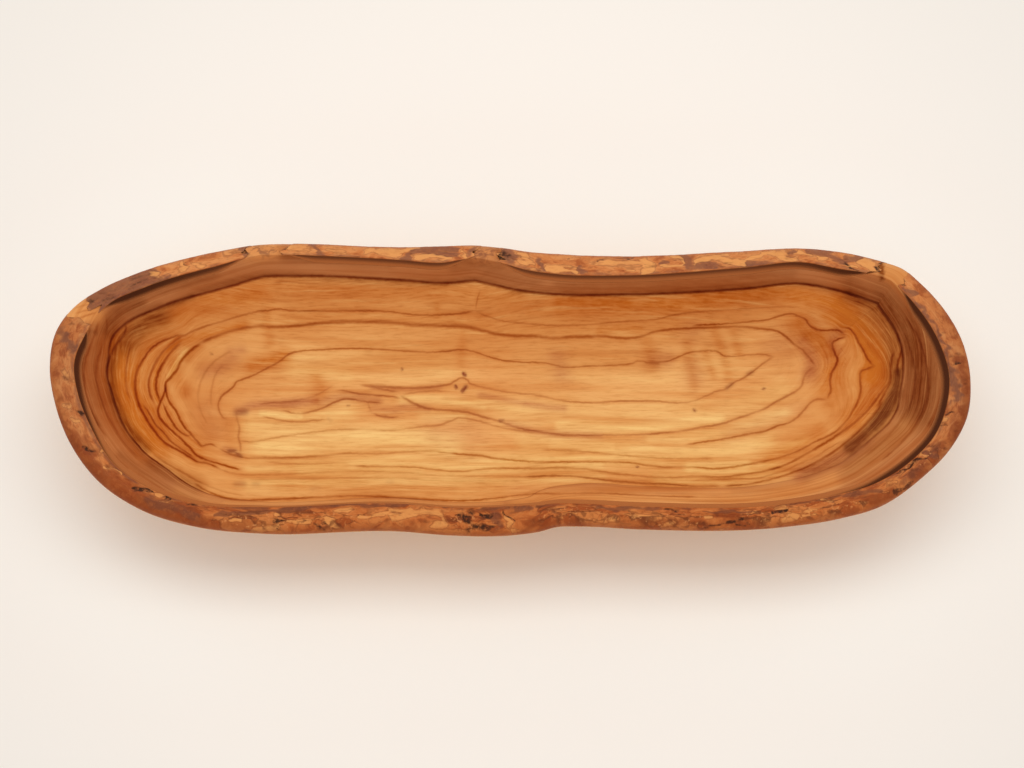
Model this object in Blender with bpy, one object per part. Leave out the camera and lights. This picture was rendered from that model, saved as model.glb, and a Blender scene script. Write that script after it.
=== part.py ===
"""Rustic bread bowl: a half log of olive wood, hollowed from its bark side, with the bark left on the rim.

The log lies along X with its crown line over Y = 0. The rim is the log's own round surface, so it is
highest at the two ends and lower along the sides. Four strips of bark lie on the rim, parted by bare wood.
"""

import math

import bmesh
import bpy
import numpy as np

# Driving dimensions, in metres
LENGTH = 0.400
WIDTH = 0.136
CROWN_HEIGHT = 0.063
LOG_RADIUS = 0.165
BASE_LENGTH = 0.250
BASE_WIDTH = 0.062
FLOOR_LENGTH = 0.236
FLOOR_WIDTH = 0.026
FLOOR_THICKNESS = 0.016
RIM_WIDTH = 0.0095
WALL_RUN = 0.0062
WALL_DROP = 0.011
FLARE_DROP = 0.0044
BARK_THICKNESS = 0.004
BARK_LIP = 0.001
BARK_TORN_EDGE = 0.0008
BARK_TAPER = 0.018
EDGE_ROUND = 0.004
SEAT_STEP = 0.0005
SEAT_GAP = 0.0003

# Powers of the hull's and the scoop's curves
HULL_POWER = 1.55
SCOOP_POWER = 1.8

# Mesh counts
AROUND = 132
HULL_RINGS = 7
NOSE_STEPS = 3
SCOOP_RINGS = 7
MEASURING_POINTS = 40 * AROUND
SHARP_ANGLE = math.radians(35)

# Stations round the rim's outer edge, from the left end along the back, the right end and the front:
# place as shares of half the length and half the width, rim width as a share of RIM_WIDTH,
# and the flare of the inner wall as a share of WALL_RUN; each share past 1 adds FLARE_DROP to its depth
STATIONS = np.array((
    (-1.000, 0.060, 1.08, 2.10),
    (-0.989, 0.326, 1.28, 1.75),
    (-0.954, 0.496, 1.22, 1.40),
    (-0.904, 0.619, 1.00, 1.25),
    (-0.819, 0.760, 0.98, 1.15),
    (-0.646, 0.934, 0.90, 1.08),
    (-0.558, 0.992, 0.74, 1.00),
    (-0.491, 1.000, 0.79, 1.05),
    (-0.245, 0.966, 0.88, 1.05),
    (-0.155, 0.975, 1.08, 1.00),
    (-0.073, 0.984, 0.84, 1.00),
    (-0.021, 0.966, 0.97, 1.10),
    (0.046, 0.928, 1.16, 1.00),
    (0.113, 0.908, 1.26, 0.92),
    (0.246, 0.892, 1.21, 0.87),
    (0.515, 0.934, 1.05, 1.00),
    (0.649, 0.959, 0.92, 1.00),
    (0.738, 0.925, 1.08, 0.98),
    (0.824, 0.850, 0.98, 1.25),
    (0.868, 0.793, 0.88, 1.50),
    (0.908, 0.665, 0.84, 1.80),
    (0.948, 0.496, 0.85, 2.10),
    (0.986, 0.247, 0.90, 2.70),
    (1.000, -0.030, 0.88, 3.30),
    (0.988, -0.288, 0.91, 3.40),
    (0.954, -0.467, 0.91, 3.40),
    (0.888, -0.659, 0.98, 3.40),
    (0.801, -0.828, 1.02, 3.20),
    (0.714, -0.900, 0.88, 2.90),
    (0.585, -0.953, 0.83, 2.50),
    (0.282, -0.965, 0.83, 2.40),
    (0.153, -0.948, 0.82, 2.40),
    (0.100, -0.952, 0.87, 2.00),
    (0.066, -0.977, 1.00, 1.40),
    (0.001, -1.000, 1.10, 1.00),
    (-0.128, -1.000, 1.05, 0.95),
    (-0.237, -0.977, 1.04, 1.00),
    (-0.539, -0.989, 0.98, 0.97),
    (-0.669, -0.954, 0.84, 1.50),
    (-0.798, -0.846, 0.88, 2.50),
    (-0.885, -0.684, 0.95, 2.55),
    (-0.951, -0.435, 1.05, 2.35),
    (-0.986, -0.174, 1.04, 2.35),
))
LEFT_END, RIDGE, KNOT, RIGHT_END = 0, 6, 10, 23

# Bare wood across the rear rim, from and to, as shares of half the length; each strip starts after one
BARE_PATCHES = (
    ("bark_rear_left", -0.955, -0.905),
    ("bark_rear_middle", -0.585, -0.510),
    ("bark_rear_right", -0.075, -0.025),
    ("bark_front", 0.825, 0.872),
)

# Colour and roughness of each finish
OLIVE_WOOD = ((0.55, 0.27, 0.08), 0.40)
OLIVE_BARK = ((0.22, 0.08, 0.03), 0.55)


def closed_curve(knots, period, values, at, corners=()):
    """A closed cubic curve through the values, smooth at every knot but the corners."""
    steps = np.diff(np.append(knots, period))
    slopes = (np.roll(values, -1) - values) / steps
    slopes_before = np.roll(slopes, 1)
    steps_before = np.roll(steps, 1)
    leaving = (steps * slopes_before + steps_before * slopes) / (steps + steps_before)
    arriving = leaving.copy()
    for corner in corners:
        leaving[corner] = slopes[corner]
        arriving[corner] = slopes_before[corner]
    at = np.mod(at, period)
    here = np.searchsorted(knots, at, side="right") - 1
    after = (here + 1) % len(knots)
    step = steps[here]
    t = (at - knots[here]) / step
    return (
        values[here] * (1 + 2 * t) * (1 - t) ** 2
        + values[after] * t * t * (3 - 2 * t)
        + leaving[here] * step * t * (1 - t) ** 2
        - arriving[after] * step * t * t * (1 - t)
    )


def log_surface(across):
    """Height of the log's round surface at a distance from its crown line."""
    return CROWN_HEIGHT - LOG_RADIUS + np.sqrt(LOG_RADIUS**2 - across**2)


class Rim:
    """The rim's outer edge and what follows it, read at stations all the way round."""

    def __init__(self):
        half = np.array((LENGTH, WIDTH)) / 2
        points = STATIONS[:, :2] * half
        chords = np.linalg.norm(np.roll(points, -1, 0) - points, axis=1)
        self.knots = np.append(0, np.cumsum(chords)[:-1])
        self.period = chords.sum()
        # The curve between stations may swing past them, so the whole outline is fitted to the real size
        dense = self.raw_edge(np.linspace(0, self.period, MEASURING_POINTS, endpoint=False))
        low, high = dense.min(0), dense.max(0)
        self.centre = (low + high) / 2
        self.fit = 2 * half / (high - low)
        self.place_strips()
        self.read_stations()

    def raw_edge(self, at):
        """The smooth curve through the stations."""
        half = np.array((LENGTH, WIDTH)) / 2
        columns = [closed_curve(self.knots, self.period, STATIONS[:, i] * half[i], at) for i in (0, 1)]
        return np.column_stack(columns)

    def edge(self, at):
        """The rim's outer edge in plan, centred and at its real length and width."""
        return (self.raw_edge(at) - self.centre) * self.fit

    def place_strips(self):
        """Distances round the rim at which each bare patch starts and ends."""
        rear = np.linspace(self.knots[LEFT_END], self.knots[RIGHT_END], MEASURING_POINTS)
        along = self.edge(rear)[:, 0]
        self.ends = []
        for name, start, end in BARE_PATCHES:
            bare_from, bare_to = np.interp(np.array((start, end)) * LENGTH / 2, along, rear)
            self.ends.append((name, bare_from, bare_to))

    def read_stations(self):
        """Even stations between the ends of the strips, so that every strip starts and ends on one."""
        breaks = sorted(at for _, start, end in self.ends for at in (start, end))
        stretches = zip(breaks, breaks[1:] + [breaks[0] + self.period])
        at = []
        for start, end in stretches:
            count = max(2, round(AROUND * (end - start) / self.period))
            at.extend(np.linspace(start, end, count, endpoint=False))
        self.at = np.array(at)
        self.outer = self.edge(self.at)
        nudge = self.period / MEASURING_POINTS
        ahead = self.edge(self.at + nudge) - self.edge(self.at - nudge)
        ahead /= np.linalg.norm(ahead, axis=1)[:, None]
        self.inward = np.column_stack((ahead[:, 1], -ahead[:, 0]))
        corners = (RIDGE, KNOT)
        self.width = RIM_WIDTH * closed_curve(self.knots, self.period, STATIONS[:, 2], self.at, corners)
        flare = closed_curve(self.knots, self.period, STATIONS[:, 3], self.at)
        self.run = WALL_RUN * flare
        self.drop = WALL_DROP + FLARE_DROP * (flare - 1)
        self.bare = self.bareness()

    def bareness(self):
        """1 on bare wood, falling to 0 where the bark has its full thickness."""
        bare = np.zeros(len(self.at))
        for _, start, end in self.ends:
            middle, half = (start + end) / 2, (end - start) / 2
            away = np.abs(np.mod(self.at - middle + self.period / 2, self.period) - self.period / 2) - half
            share = np.clip(1 - away / BARK_TAPER, 0, 1)
            bare = np.maximum(bare, share * share * (3 - 2 * share))
        return bare

    def inset(self, distance):
        """Plan points a distance in from the outer edge, square to it."""
        return self.outer + self.inward * np.asarray(distance).reshape(-1, 1)

    def on_log(self, distance, depth):
        """Points a distance in from the outer edge and a depth below the log's surface."""
        plan = self.inset(np.broadcast_to(distance, self.at.shape))
        return np.column_stack((plan, log_surface(plan[:, 1]) - depth))

    def on_wall(self, depth):
        """Points on the inner wall, a depth below its top edge."""
        top = self.inset(self.width)
        plan = self.inset(self.width + self.run * depth / self.drop)
        return np.column_stack((plan, log_surface(top[:, 1]) - depth))

    def face(self, depth_below):
        """Rings from the outer edge, over its rounding and across the rim to the wall's top edge."""
        rings = []
        for step in range(NOSE_STEPS + 1):
            angle = math.pi / 2 * step / NOSE_STEPS
            nose_depth = (BARK_THICKNESS - BARK_LIP) * (1 - math.sin(angle))
            rings.append(self.on_log(EDGE_ROUND * (1 - math.cos(angle)), depth_below(nose_depth)))
        rings.append(self.on_log((EDGE_ROUND + self.width) / 2, depth_below(0)))
        rings.append(self.on_wall(depth_below(0)))
        return rings

    def seat(self, clearance=0.0):
        """The wood under the bark, which rises to the rim's own rounding where it is bare."""
        def depth(nose_depth):
            covered = BARK_THICKNESS * (1 - self.bare)
            return covered + (nose_depth + BARK_TORN_EDGE) * self.bare - clearance
        return self.face(depth)

    def bark_top(self):
        """The bark's own face, which is the log's surface with its outer edge rounded."""
        return self.face(lambda nose_depth: nose_depth)


def hull_rings(rim):
    """The outer wall, from the edge of the flat underside up to just below the bark."""
    top = rim.on_log(0, BARK_THICKNESS + SEAT_STEP)
    base = rim.outer * np.array((BASE_LENGTH / LENGTH, BASE_WIDTH / WIDTH))
    rings = []
    for share in np.linspace(0, 1, HULL_RINGS + 1):
        plan = base + (top[:, :2] - base) * share
        rings.append(np.column_stack((plan, top[:, 2] * share**HULL_POWER)))
    return rings


def cavity_rings(rim):
    """The scoop, from the crease at the foot of the wall down to the edge of the flat floor."""
    crease = rim.on_wall(rim.drop)
    reach = crease[:, :2].max(0) - crease[:, :2].min(0)
    floor = crease[:, :2] * np.array((FLOOR_LENGTH, FLOOR_WIDTH)) / reach
    rings = []
    for share in np.linspace(1, 0, SCOOP_RINGS + 1):
        plan = floor + (crease[:, :2] - floor) * share
        height = FLOOR_THICKNESS + (crease[:, 2] - FLOOR_THICKNESS) * share**SCOOP_POWER
        rings.append(np.column_stack((plan, height)))
    return rings


def finish(name, look):
    """A plain material of one colour and roughness."""
    colour, roughness = look
    material = bpy.data.materials.new(name + "_finish")
    material.use_nodes = True
    shader = material.node_tree.nodes["Principled BSDF"]
    shader.inputs["Base Color"].default_value = (*colour, 1.0)
    shader.inputs["Roughness"].default_value = roughness
    shader.inputs["Metallic"].default_value = 0.0
    return material


def loft(name, rings, material, collection):
    """A closed solid through a row of closed rings, with a flat face at each end."""
    mesh_builder = bmesh.new()
    rows = [[mesh_builder.verts.new(point) for point in ring] for ring in rings]
    for row, next_row in zip(rows, rows[1:]):
        for i in range(len(row)):
            mesh_builder.faces.new((row[i - 1], row[i], next_row[i], next_row[i - 1]))
    mesh_builder.faces.new(rows[0])
    mesh_builder.faces.new(rows[-1])
    bmesh.ops.recalc_face_normals(mesh_builder, faces=mesh_builder.faces)
    mesh = bpy.data.meshes.new(name)
    mesh_builder.to_mesh(mesh)
    mesh_builder.free()
    mesh.materials.append(material)
    mesh.shade_smooth()
    mesh.set_sharp_from_angle(angle=SHARP_ANGLE)
    piece = bpy.data.objects.new(name, mesh)
    collection.objects.link(piece)
    return piece


def bark_strips(rim, body, collection):
    """Four strips of bark on the seat, each from the end of one bare patch to the start of the next."""
    under = np.array(rim.seat(SEAT_GAP))
    over = np.array(rim.bark_top())
    sections = np.concatenate((under, over[::-1])).swapaxes(0, 1)
    count = len(rim.at)
    for here, (name, _, start) in enumerate(rim.ends):
        end = rim.ends[(here + 1) % len(rim.ends)][1]
        first = int(np.argmin(np.abs(rim.at - start)))
        last = int(np.argmin(np.abs(rim.at - end)))
        steps = (last - first) % count
        rings = [sections[(first + step) % count] for step in range(steps + 1)]
        strip = loft(name, rings, finish(name, OLIVE_BARK), collection)
        strip.parent = body


def main():
    for old in list(bpy.data.objects):
        bpy.data.objects.remove(old)
    collection = bpy.data.collections.new("bread_bowl")
    bpy.context.scene.collection.children.link(collection)
    rim = Rim()
    rings = hull_rings(rim) + rim.seat() + cavity_rings(rim)
    body = loft("bowl_body", rings, finish("bowl_body", OLIVE_WOOD), collection)
    bark_strips(rim, body, collection)


main()
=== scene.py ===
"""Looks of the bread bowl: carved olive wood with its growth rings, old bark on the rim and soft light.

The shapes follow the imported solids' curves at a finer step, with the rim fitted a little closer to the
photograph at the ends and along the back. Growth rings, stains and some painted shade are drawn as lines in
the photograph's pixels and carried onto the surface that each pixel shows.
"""

import math

import bpy
import numpy as np
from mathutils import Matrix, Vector, noise
from mathutils.geometry import delaunay_2d_cdt


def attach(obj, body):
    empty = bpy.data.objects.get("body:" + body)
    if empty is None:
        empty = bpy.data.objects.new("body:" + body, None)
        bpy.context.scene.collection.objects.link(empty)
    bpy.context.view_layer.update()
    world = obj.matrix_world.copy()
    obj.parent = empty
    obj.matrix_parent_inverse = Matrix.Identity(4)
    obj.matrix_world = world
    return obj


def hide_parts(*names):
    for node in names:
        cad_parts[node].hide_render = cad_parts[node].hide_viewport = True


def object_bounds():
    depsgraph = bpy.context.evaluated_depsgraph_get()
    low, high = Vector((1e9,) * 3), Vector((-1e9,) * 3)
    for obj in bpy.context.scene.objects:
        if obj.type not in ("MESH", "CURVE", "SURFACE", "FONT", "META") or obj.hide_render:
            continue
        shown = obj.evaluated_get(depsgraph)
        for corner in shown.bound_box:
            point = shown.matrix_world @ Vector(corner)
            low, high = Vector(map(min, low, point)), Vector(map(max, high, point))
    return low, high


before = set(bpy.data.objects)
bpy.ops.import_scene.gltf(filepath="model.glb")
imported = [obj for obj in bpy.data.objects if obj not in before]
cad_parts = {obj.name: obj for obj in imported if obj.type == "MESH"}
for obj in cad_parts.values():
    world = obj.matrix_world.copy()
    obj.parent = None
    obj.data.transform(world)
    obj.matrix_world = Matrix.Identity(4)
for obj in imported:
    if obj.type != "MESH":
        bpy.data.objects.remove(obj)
cad_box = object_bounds()

# Sizes of the bowl, in metres; the overall ones come from the frame
LENGTH, WIDTH, CROWN_HEIGHT = cad_box[1] - cad_box[0]
LOG_RADIUS = 0.165
BASE_LENGTH = 0.250
BASE_WIDTH = 0.062
FLOOR_LENGTH = 0.236
FLOOR_WIDTH = 0.026
FLOOR_THICKNESS = 0.016
RIM_WIDTH = 0.0095
WALL_RUN = 0.0062
WALL_DROP = 0.011
FLARE_DROP = 0.0044
BARK_THICKNESS = 0.004
BARK_LIP = 0.001
BARK_TORN_EDGE = 0.00025
BARK_TAPER = 0.018
EDGE_ROUND = 0.004
SEAT_STEP = 0.0005
SEAT_GAP = 0.00015
HULL_POWER = 1.55
SCOOP_POWER = 1.8

# Mesh counts; the bark has finer ones
AROUND = 760
HULL_RINGS = 22
NOSE_STEPS = 6
RIM_STEPS = 10
BARK_AROUND = 1500
BARK_NOSE_STEPS = 8
BARK_RIM_STEPS = 22
BARK_CUT_STEPS = 5
WALL_RINGS = 14
SCOOP_RINGS = 56
FLOOR_STEP = 0.0010
BASE_STEP = 0.0030
NET_MARGIN = 0.6
NET_TOLERANCE = 1e-9
MEASURING_POINTS = 8000
SHARP_ANGLE = math.radians(40)

# Stations round the rim's outer edge, from the left end along the back, the right end and the front:
# place as shares of half the length and half the width, rim width as a share of RIM_WIDTH,
# and the flare of the inner wall as a share of WALL_RUN
STATIONS = np.array((
    (-1.000, 0.060, 1.12, 2.04), (-0.989, 0.326, 1.38, 1.60), (-0.954, 0.496, 1.28, 1.31),
    (-0.904, 0.619, 1.00, 1.25), (-0.819, 0.760, 0.98, 1.15), (-0.646, 0.934, 0.90, 1.08),
    (-0.558, 0.992, 0.74, 1.00), (-0.491, 1.000, 0.79, 0.96), (-0.245, 0.970, 0.86, 0.92),
    (-0.155, 0.977, 1.08, 0.93), (-0.073, 0.984, 0.84, 1.07), (-0.021, 0.966, 0.97, 1.10),
    (0.046, 0.928, 1.16, 1.00), (0.113, 0.908, 1.26, 0.92), (0.246, 0.892, 1.21, 0.87),
    (0.515, 0.934, 1.05, 1.00), (0.649, 0.959, 0.92, 1.00), (0.738, 0.925, 1.08, 0.98),
    (0.824, 0.850, 0.98, 1.25), (0.868, 0.793, 1.00, 1.32), (0.908, 0.665, 1.03, 1.51),
    (0.948, 0.496, 1.05, 1.79), (0.986, 0.247, 1.05, 2.47), (1.000, -0.030, 0.96, 3.18),
    (0.988, -0.288, 1.00, 3.26), (0.954, -0.467, 0.86, 3.48), (0.888, -0.659, 0.78, 3.71),
    (0.801, -0.828, 0.88, 3.42), (0.714, -0.900, 0.88, 2.90), (0.585, -0.953, 0.83, 2.50),
    (0.282, -0.965, 0.83, 2.40), (0.153, -0.948, 0.82, 2.40), (0.100, -0.952, 0.87, 2.00),
    (0.066, -0.977, 1.00, 1.40), (0.001, -1.000, 1.10, 1.00), (-0.128, -1.000, 1.05, 0.95),
    (-0.237, -0.977, 1.04, 1.00), (-0.539, -0.989, 0.98, 0.97), (-0.669, -0.954, 0.84, 1.50),
    (-0.798, -0.846, 0.88, 2.50), (-0.885, -0.684, 0.95, 2.55), (-0.951, -0.435, 1.12, 2.24),
    (-0.986, -0.174, 1.09, 2.27),
))
LEFT_END, RIDGE, KNOT, RIGHT_END = 0, 6, 10, 23

# Bare wood across the rear rim, from and to, as shares of half the length; each strip starts after one
BARE_PATCHES = (
    ("bark_rear_left", -0.966, -0.935),
    ("bark_rear_middle", -0.585, -0.510),
    ("bark_rear_right", -0.075, -0.025),
    ("bark_front", 0.826, 0.888),
)

# The photograph's camera: the point it looks at, from how far and how high, and where that point shows
PHOTO_SIZE = (1024, 768)
LOOK_AT = np.array((0.0, 0.0, 0.040))
DISTANCE = 1.32
ELEVATION = math.radians(70)
PIXEL = 0.0004405
FOCAL = DISTANCE / PIXEL
LOOK_AT_PIXEL = np.array((509.7, 391.4))
SENSOR = 36.0
TOWARDS_CAMERA = np.array((0.0, -math.cos(ELEVATION), math.sin(ELEVATION)))
CAMERA_UP = np.array((0.0, math.sin(ELEVATION), math.cos(ELEVATION)))

# Growth rings in the photograph's pixels: ring number at both ends or None, width at start, middle and end,
# darkness, share of plum in the colour, and then x and y of each point that the line runs through
GROWTH_RINGS = (
    ("back_dash", None, (1, 2, 1), 0.45, 0, 270, 283, 290, 282, 306, 283.5, 322, 284.3, 345, 284.5),
    ("back_ring", (3, 3), (2.4, 1.6, 1.4), 0.8, 0, 156, 405, 151, 397, 149, 389, 149, 380, 152, 370,
     157, 360, 163, 352, 171, 344.5, 181, 337, 191, 332, 205, 326.5, 222, 321.5, 240, 316, 258, 311.5,
     268, 311, 280, 309.2, 292, 310.8, 320, 311, 360, 311, 390, 312, 410, 314.5, 440, 315, 462, 313.3,
     476, 311),
    ("back_ring_right", (3, 3), (1.4, 1.6, 1.2), 0.5, 0, 474, 311, 490, 317.5, 508, 321.7, 530, 324,
     560, 325.5, 585, 325, 612, 322.5, 640, 320.5, 655, 319.5, 672, 315.5, 688, 312.8, 720, 310.5, 760, 308,
     785, 306.7, 800, 307.5),
    ("knot_spur", None, (1.4, 1.2, 1), 0.45, 0, 475.5, 313, 476, 306, 478, 298, 481, 288),
    ("left_far", (1, 1), (1.4, 2.2, 1.4), 0.7, 0, 132, 341, 128, 355, 126, 370, 126, 384, 128, 394,
     132, 404),
    ("left_outer", (2, 1.7), (1.8, 3.2, 1.6), 1.15, 0, 186, 333, 172, 337.5, 160, 342.5, 150, 350, 143, 360,
     138, 369, 135.5, 380, 135.5, 392, 138, 402, 143, 413, 151, 426, 160, 438, 168, 445, 178, 450, 188, 456,
     197, 461.5, 208, 463.5, 222, 470),
    ("left_second", None, (1.2, 2, 1.4), 0.85, 0, 142, 402, 150, 415, 156, 425, 164, 433, 172, 442,
     181, 448.5, 189, 454, 197, 460),
    ("left_band", None, (1.8, 3.4, 2), 1.15, 0, 184, 340, 173, 350, 166, 359, 160, 369, 156.5, 379,
     156, 388, 158, 396, 162, 405),
    ("left_hook", None, (1.8, 2.4, 1.6), 1.25, 0, 166, 382, 164.5, 393, 160, 403, 158, 410, 159.5, 417,
     164, 423, 171, 430, 179, 437, 186, 444, 192, 450, 197, 455.5, 205, 459.5, 217, 463, 230, 467, 244, 471),
    ("left_barb", None, (1.6, 2, 1.4), 1.05, 0, 162, 400, 166, 411, 171, 420, 177, 429, 183, 433.5,
     189, 436, 193, 432),
    ("main_ring_left", (5, 5), (1.8, 2.2, 3.8), 1.15, 0, 219, 449, 213, 445, 207, 444.5, 202, 446, 196, 440,
     191, 434, 185, 427.5, 180, 419, 176, 411, 171, 404.5, 167.5, 398, 166, 390, 166, 383, 171, 377,
     176, 371, 180, 363, 186, 355, 193, 348.5, 203, 342),
    ("main_ring_back", (5, 5), (3.4, 4.6, 3.8), 0.85, 0.1, 198, 345, 207, 340, 217, 336, 229, 331.8,
     245, 328, 260, 326.2, 275, 327, 300, 325.5, 325, 322.8, 350, 322, 390, 322.7, 415, 325, 445, 326,
     465, 327, 480, 330, 497, 334.3, 515, 336, 535, 336.3, 552, 338, 575, 337, 600, 336.5),
    ("main_ring_right", (5, 5), (3, 2.2, 2.2), 0.85, 0.1, 590, 336.5, 605, 336.5, 622, 338.3, 640, 337,
     652, 332.8, 668, 329.7, 690, 328.4, 712, 327.8, 745, 327, 760, 329, 777, 331.3, 785, 336, 795, 345,
     803, 350.5, 809, 357.5, 817, 368),
    ("main_ring_front", (5, 5), (2.4, 2, 2.6), 0.72, 0.55, 818, 366, 810, 369.5, 805.5, 374, 803, 380,
     802, 385, 798, 389.5, 787, 396, 776, 402, 763, 409.5, 750, 414, 735, 419.5, 720, 424.3, 702, 427,
     686, 430.5, 665, 432.8, 640, 434.7, 610, 435, 580, 435.5, 560, 434.8, 540, 432, 520, 428.5, 503, 422.8,
     485, 417.5, 467, 412.5, 450, 410.5, 430, 408.7, 419, 406, 409, 401, 398, 394),
    ("thin_ring", (6, 6), (1.8, 1.3, 1.5), 0.8, 0.1, 228, 421, 222, 416, 219, 410, 218.5, 403, 222, 396,
     228, 391, 233, 387, 236, 382.5, 244, 379, 254, 375, 266, 369, 278, 362.5, 287, 355.5, 294, 352.3,
     308, 350.6, 330, 349.4, 355, 348.6, 380, 349.5, 405, 351.3, 430, 352.4, 447, 351.3, 460, 349.6,
     472, 351.2, 486, 356, 502, 360.3, 520, 362.2, 545, 363.2, 563, 367, 590, 366.2, 612, 365.3, 630, 364,
     639, 361, 649, 362.8, 672, 360, 682, 355.3, 694, 352, 708, 351, 718, 352, 723, 355.7, 735, 356.3,
     752, 354.8, 765, 354.6, 775, 357),
    ("arrow_front", (6, 6), (1.8, 1.6, 2.6), 0.64, 0.35, 776, 356, 767, 361, 757, 368, 749, 374.5, 742, 379,
     733, 383.5, 727, 388.5, 716, 391.7, 704, 397, 694, 401, 676, 403, 655, 401.2, 625, 401, 595, 402.6,
     575, 402.3, 558, 400, 538, 395.5, 515, 393, 497, 390.5, 481, 387, 471, 384, 466.5, 379.5, 462, 378,
     456, 380.5, 450, 384, 440, 386.2, 420, 387.7, 400, 388, 380, 386.3, 358, 384.5),
    ("flame_back", (4, 4), (1.2, 1.6, 1.8), 1, 0, 690, 326, 722, 324, 752, 321.6, 768, 319.8, 778, 316.5,
     792, 314, 800, 317, 806, 320, 809, 325, 816, 329.3, 826, 330.5, 838, 330.3, 847, 336.5),
    ("flame_end", (4, 4), (1.8, 2.6, 1.8), 1.05, 0, 848, 335.5, 838, 339.5, 832.5, 342.5, 832.5, 347,
     835, 354, 837.5, 360, 835, 367, 831, 374, 830, 383, 831, 390, 828.5, 396, 827, 401),
    ("flame_front", (4, 4), (2.2, 1.8, 1.2), 0.85, 0.2, 829, 400, 818, 399.5, 811, 402.5, 804, 410,
     796, 418.5, 787, 423.5, 777, 426, 766, 431, 750, 433.7, 735, 437, 715, 440.5, 700, 442.5, 682, 445.5),
    ("right_loop_back", (3, 3), (1.2, 2.2, 1.8), 0.9, 0, 841, 328.5, 849, 328.5, 854, 334, 859, 343,
     864, 352, 869, 361, 876, 367),
    ("right_loop_front", (3, 3.6), (2, 1.8, 2), 0.78, 0, 877, 365, 867, 369, 861, 371, 860, 380, 861, 390,
     858, 401, 853, 410, 848, 419, 841, 427, 830, 435, 815, 442, 800, 450, 785, 456, 768, 460.5, 750, 464,
     733, 467, 715, 468.8, 690, 466.8, 665, 467, 648, 465.5, 632, 463, 605, 462, 570, 462, 540, 462,
     516, 460.5, 496, 458.5, 478, 455.3, 462, 454.3, 446, 453),
    ("front_ring", (5, 3.6), (1.8, 2.2, 2), 0.58, 0, 216, 447, 228, 453, 240, 457.3, 262, 458, 290, 457.5,
     320, 456, 350, 453.3, 380, 453.8, 408, 451.7, 428, 451, 452, 453.5),
    ("front_faint", None, (1, 1.8, 1), 0.35, 0, 260, 461, 285, 463.5, 315, 464, 342, 463),
    ("front_second", (2.6, 2), (1.4, 2.4, 2), 0.62, 0, 352, 466, 385, 466.7, 410, 467, 432, 469.2, 448, 471,
     465, 471.3, 482, 469.3, 500, 468.2, 530, 468.6, 560, 467.7, 580, 468.5, 598, 471, 620, 474, 645, 476.5,
     665, 477.5, 700, 476.5, 722, 477, 745, 474.2, 766, 470.7, 785, 465.5),
    ("right_second", (2, 2), (1.8, 3, 2.6), 0.95, 0, 766, 470.7, 785, 465, 800, 457.5, 820, 446, 842, 432,
     860, 418, 873, 404, 882, 391, 889, 381),
    ("front_third", (1.7, 1), (1.2, 1.8, 1.6), 0.36, 0, 218, 468.5, 232, 473, 248, 475, 262, 474.6,
     290, 474, 320, 472.5, 355, 471, 385, 472, 412, 473.3, 432, 475.2, 460, 476, 500, 476, 530, 477,
     548, 475.8, 572, 476.2, 594, 478.5, 615, 481.3, 640, 483, 668, 484, 690, 486, 722, 486.2, 748, 484.2),
    ("right_third", (1, 1), (1.6, 2.6, 2.4), 0.85, 0, 722, 486, 748, 484, 768, 480, 790, 473.5, 812, 464.5,
     833, 452, 850, 439, 865, 425, 878, 409, 885, 397),
    ("front_edge", None, (1, 1.6, 1), 0.3, 0, 246, 480, 300, 479, 350, 478, 400, 478.4, 440, 480.5,
     480, 481, 525, 481),
    ("front_band", None, (1.2, 1.8, 1.4), 0.4, 0, 686, 481.5, 715, 479.5, 740, 478.5, 757, 478.5, 770, 475,
     785, 470.5, 800, 463.5, 815, 457, 830, 447.5, 847, 439),
    ("inner_front", (5.6, 5), (1.6, 1.8, 1.4), 0.48, 0.2, 237, 441, 252, 442, 266, 439.5, 282, 436.5,
     300, 434, 318, 431.8, 333, 430, 360, 429.5, 398, 430, 418, 427, 440, 425, 450, 421.3, 458, 418.2,
     468, 418.8, 482, 422, 500, 427.5, 520, 431, 540, 433.5),
    ("core_front", None, (1.4, 1.8, 1.2), 0.5, 0.2, 258, 415.5, 272, 418.5, 284, 421, 300, 421.5,
     315, 420.5, 330, 419.5),
    ("wedge_front", None, (1.6, 2, 1.6), 0.78, 0.5, 280, 410, 298, 413.7, 312, 411.5, 324, 407.5,
     334, 402.5, 345, 399, 356, 400, 370, 402.3, 385, 403),
    ("wedge_back", None, (1.2, 1.8, 1.2), 0.42, 0.5, 256, 405, 270, 402.8, 285, 402.2, 300, 400, 316, 395.5,
     328, 388.5, 336, 384),
    ("core_upper", None, (1.4, 2, 1.6), 0.72, 0.5, 334, 390.5, 345, 391, 357, 393.5, 372, 395, 388, 396.5,
     404, 398),
    ("core_middle", None, (1.2, 1.8, 1.2), 0.5, 0.5, 358, 385, 375, 388, 390, 391, 402, 392.5),
    ("core_right", None, (1.4, 1.6, 1.2), 0.42, 0.4, 400, 396, 410, 393.5, 430, 391.5, 450, 391),
    ("core_spot", None, (1.4, 3, 1.4), 1.1, 0.8, 370, 412, 379, 415.8, 390, 417.5, 401, 417.3),
    ("core_step", None, (1.6, 1.8, 1.6), 0.5, 0.4, 368, 399, 369, 407, 373, 415),
    ("patch_upper", None, (1.2, 1.8, 1.2), 0.45, 0, 70, 309, 88, 304.5, 104, 301),
    ("patch_middle", None, (1.2, 1.6, 1.2), 0.4, 0, 72, 314, 90, 309.5, 106, 305),
    ("patch_lower", None, (1.2, 1.8, 1.2), 0.45, 0, 74, 319.5, 88, 315, 100, 311),
    ("gouge_edge", None, (2.6, 2.2, 1.6), 0.5, 0.8, 236, 410, 237, 419, 239.5, 428, 238.5, 437, 240.5, 446,
     240, 457),
    ("left_arc_outer", None, (1.6, 2.6, 1.6), 0.3, 0.2, 234, 350, 219, 358, 207, 370, 200, 384, 198, 398,
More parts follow.
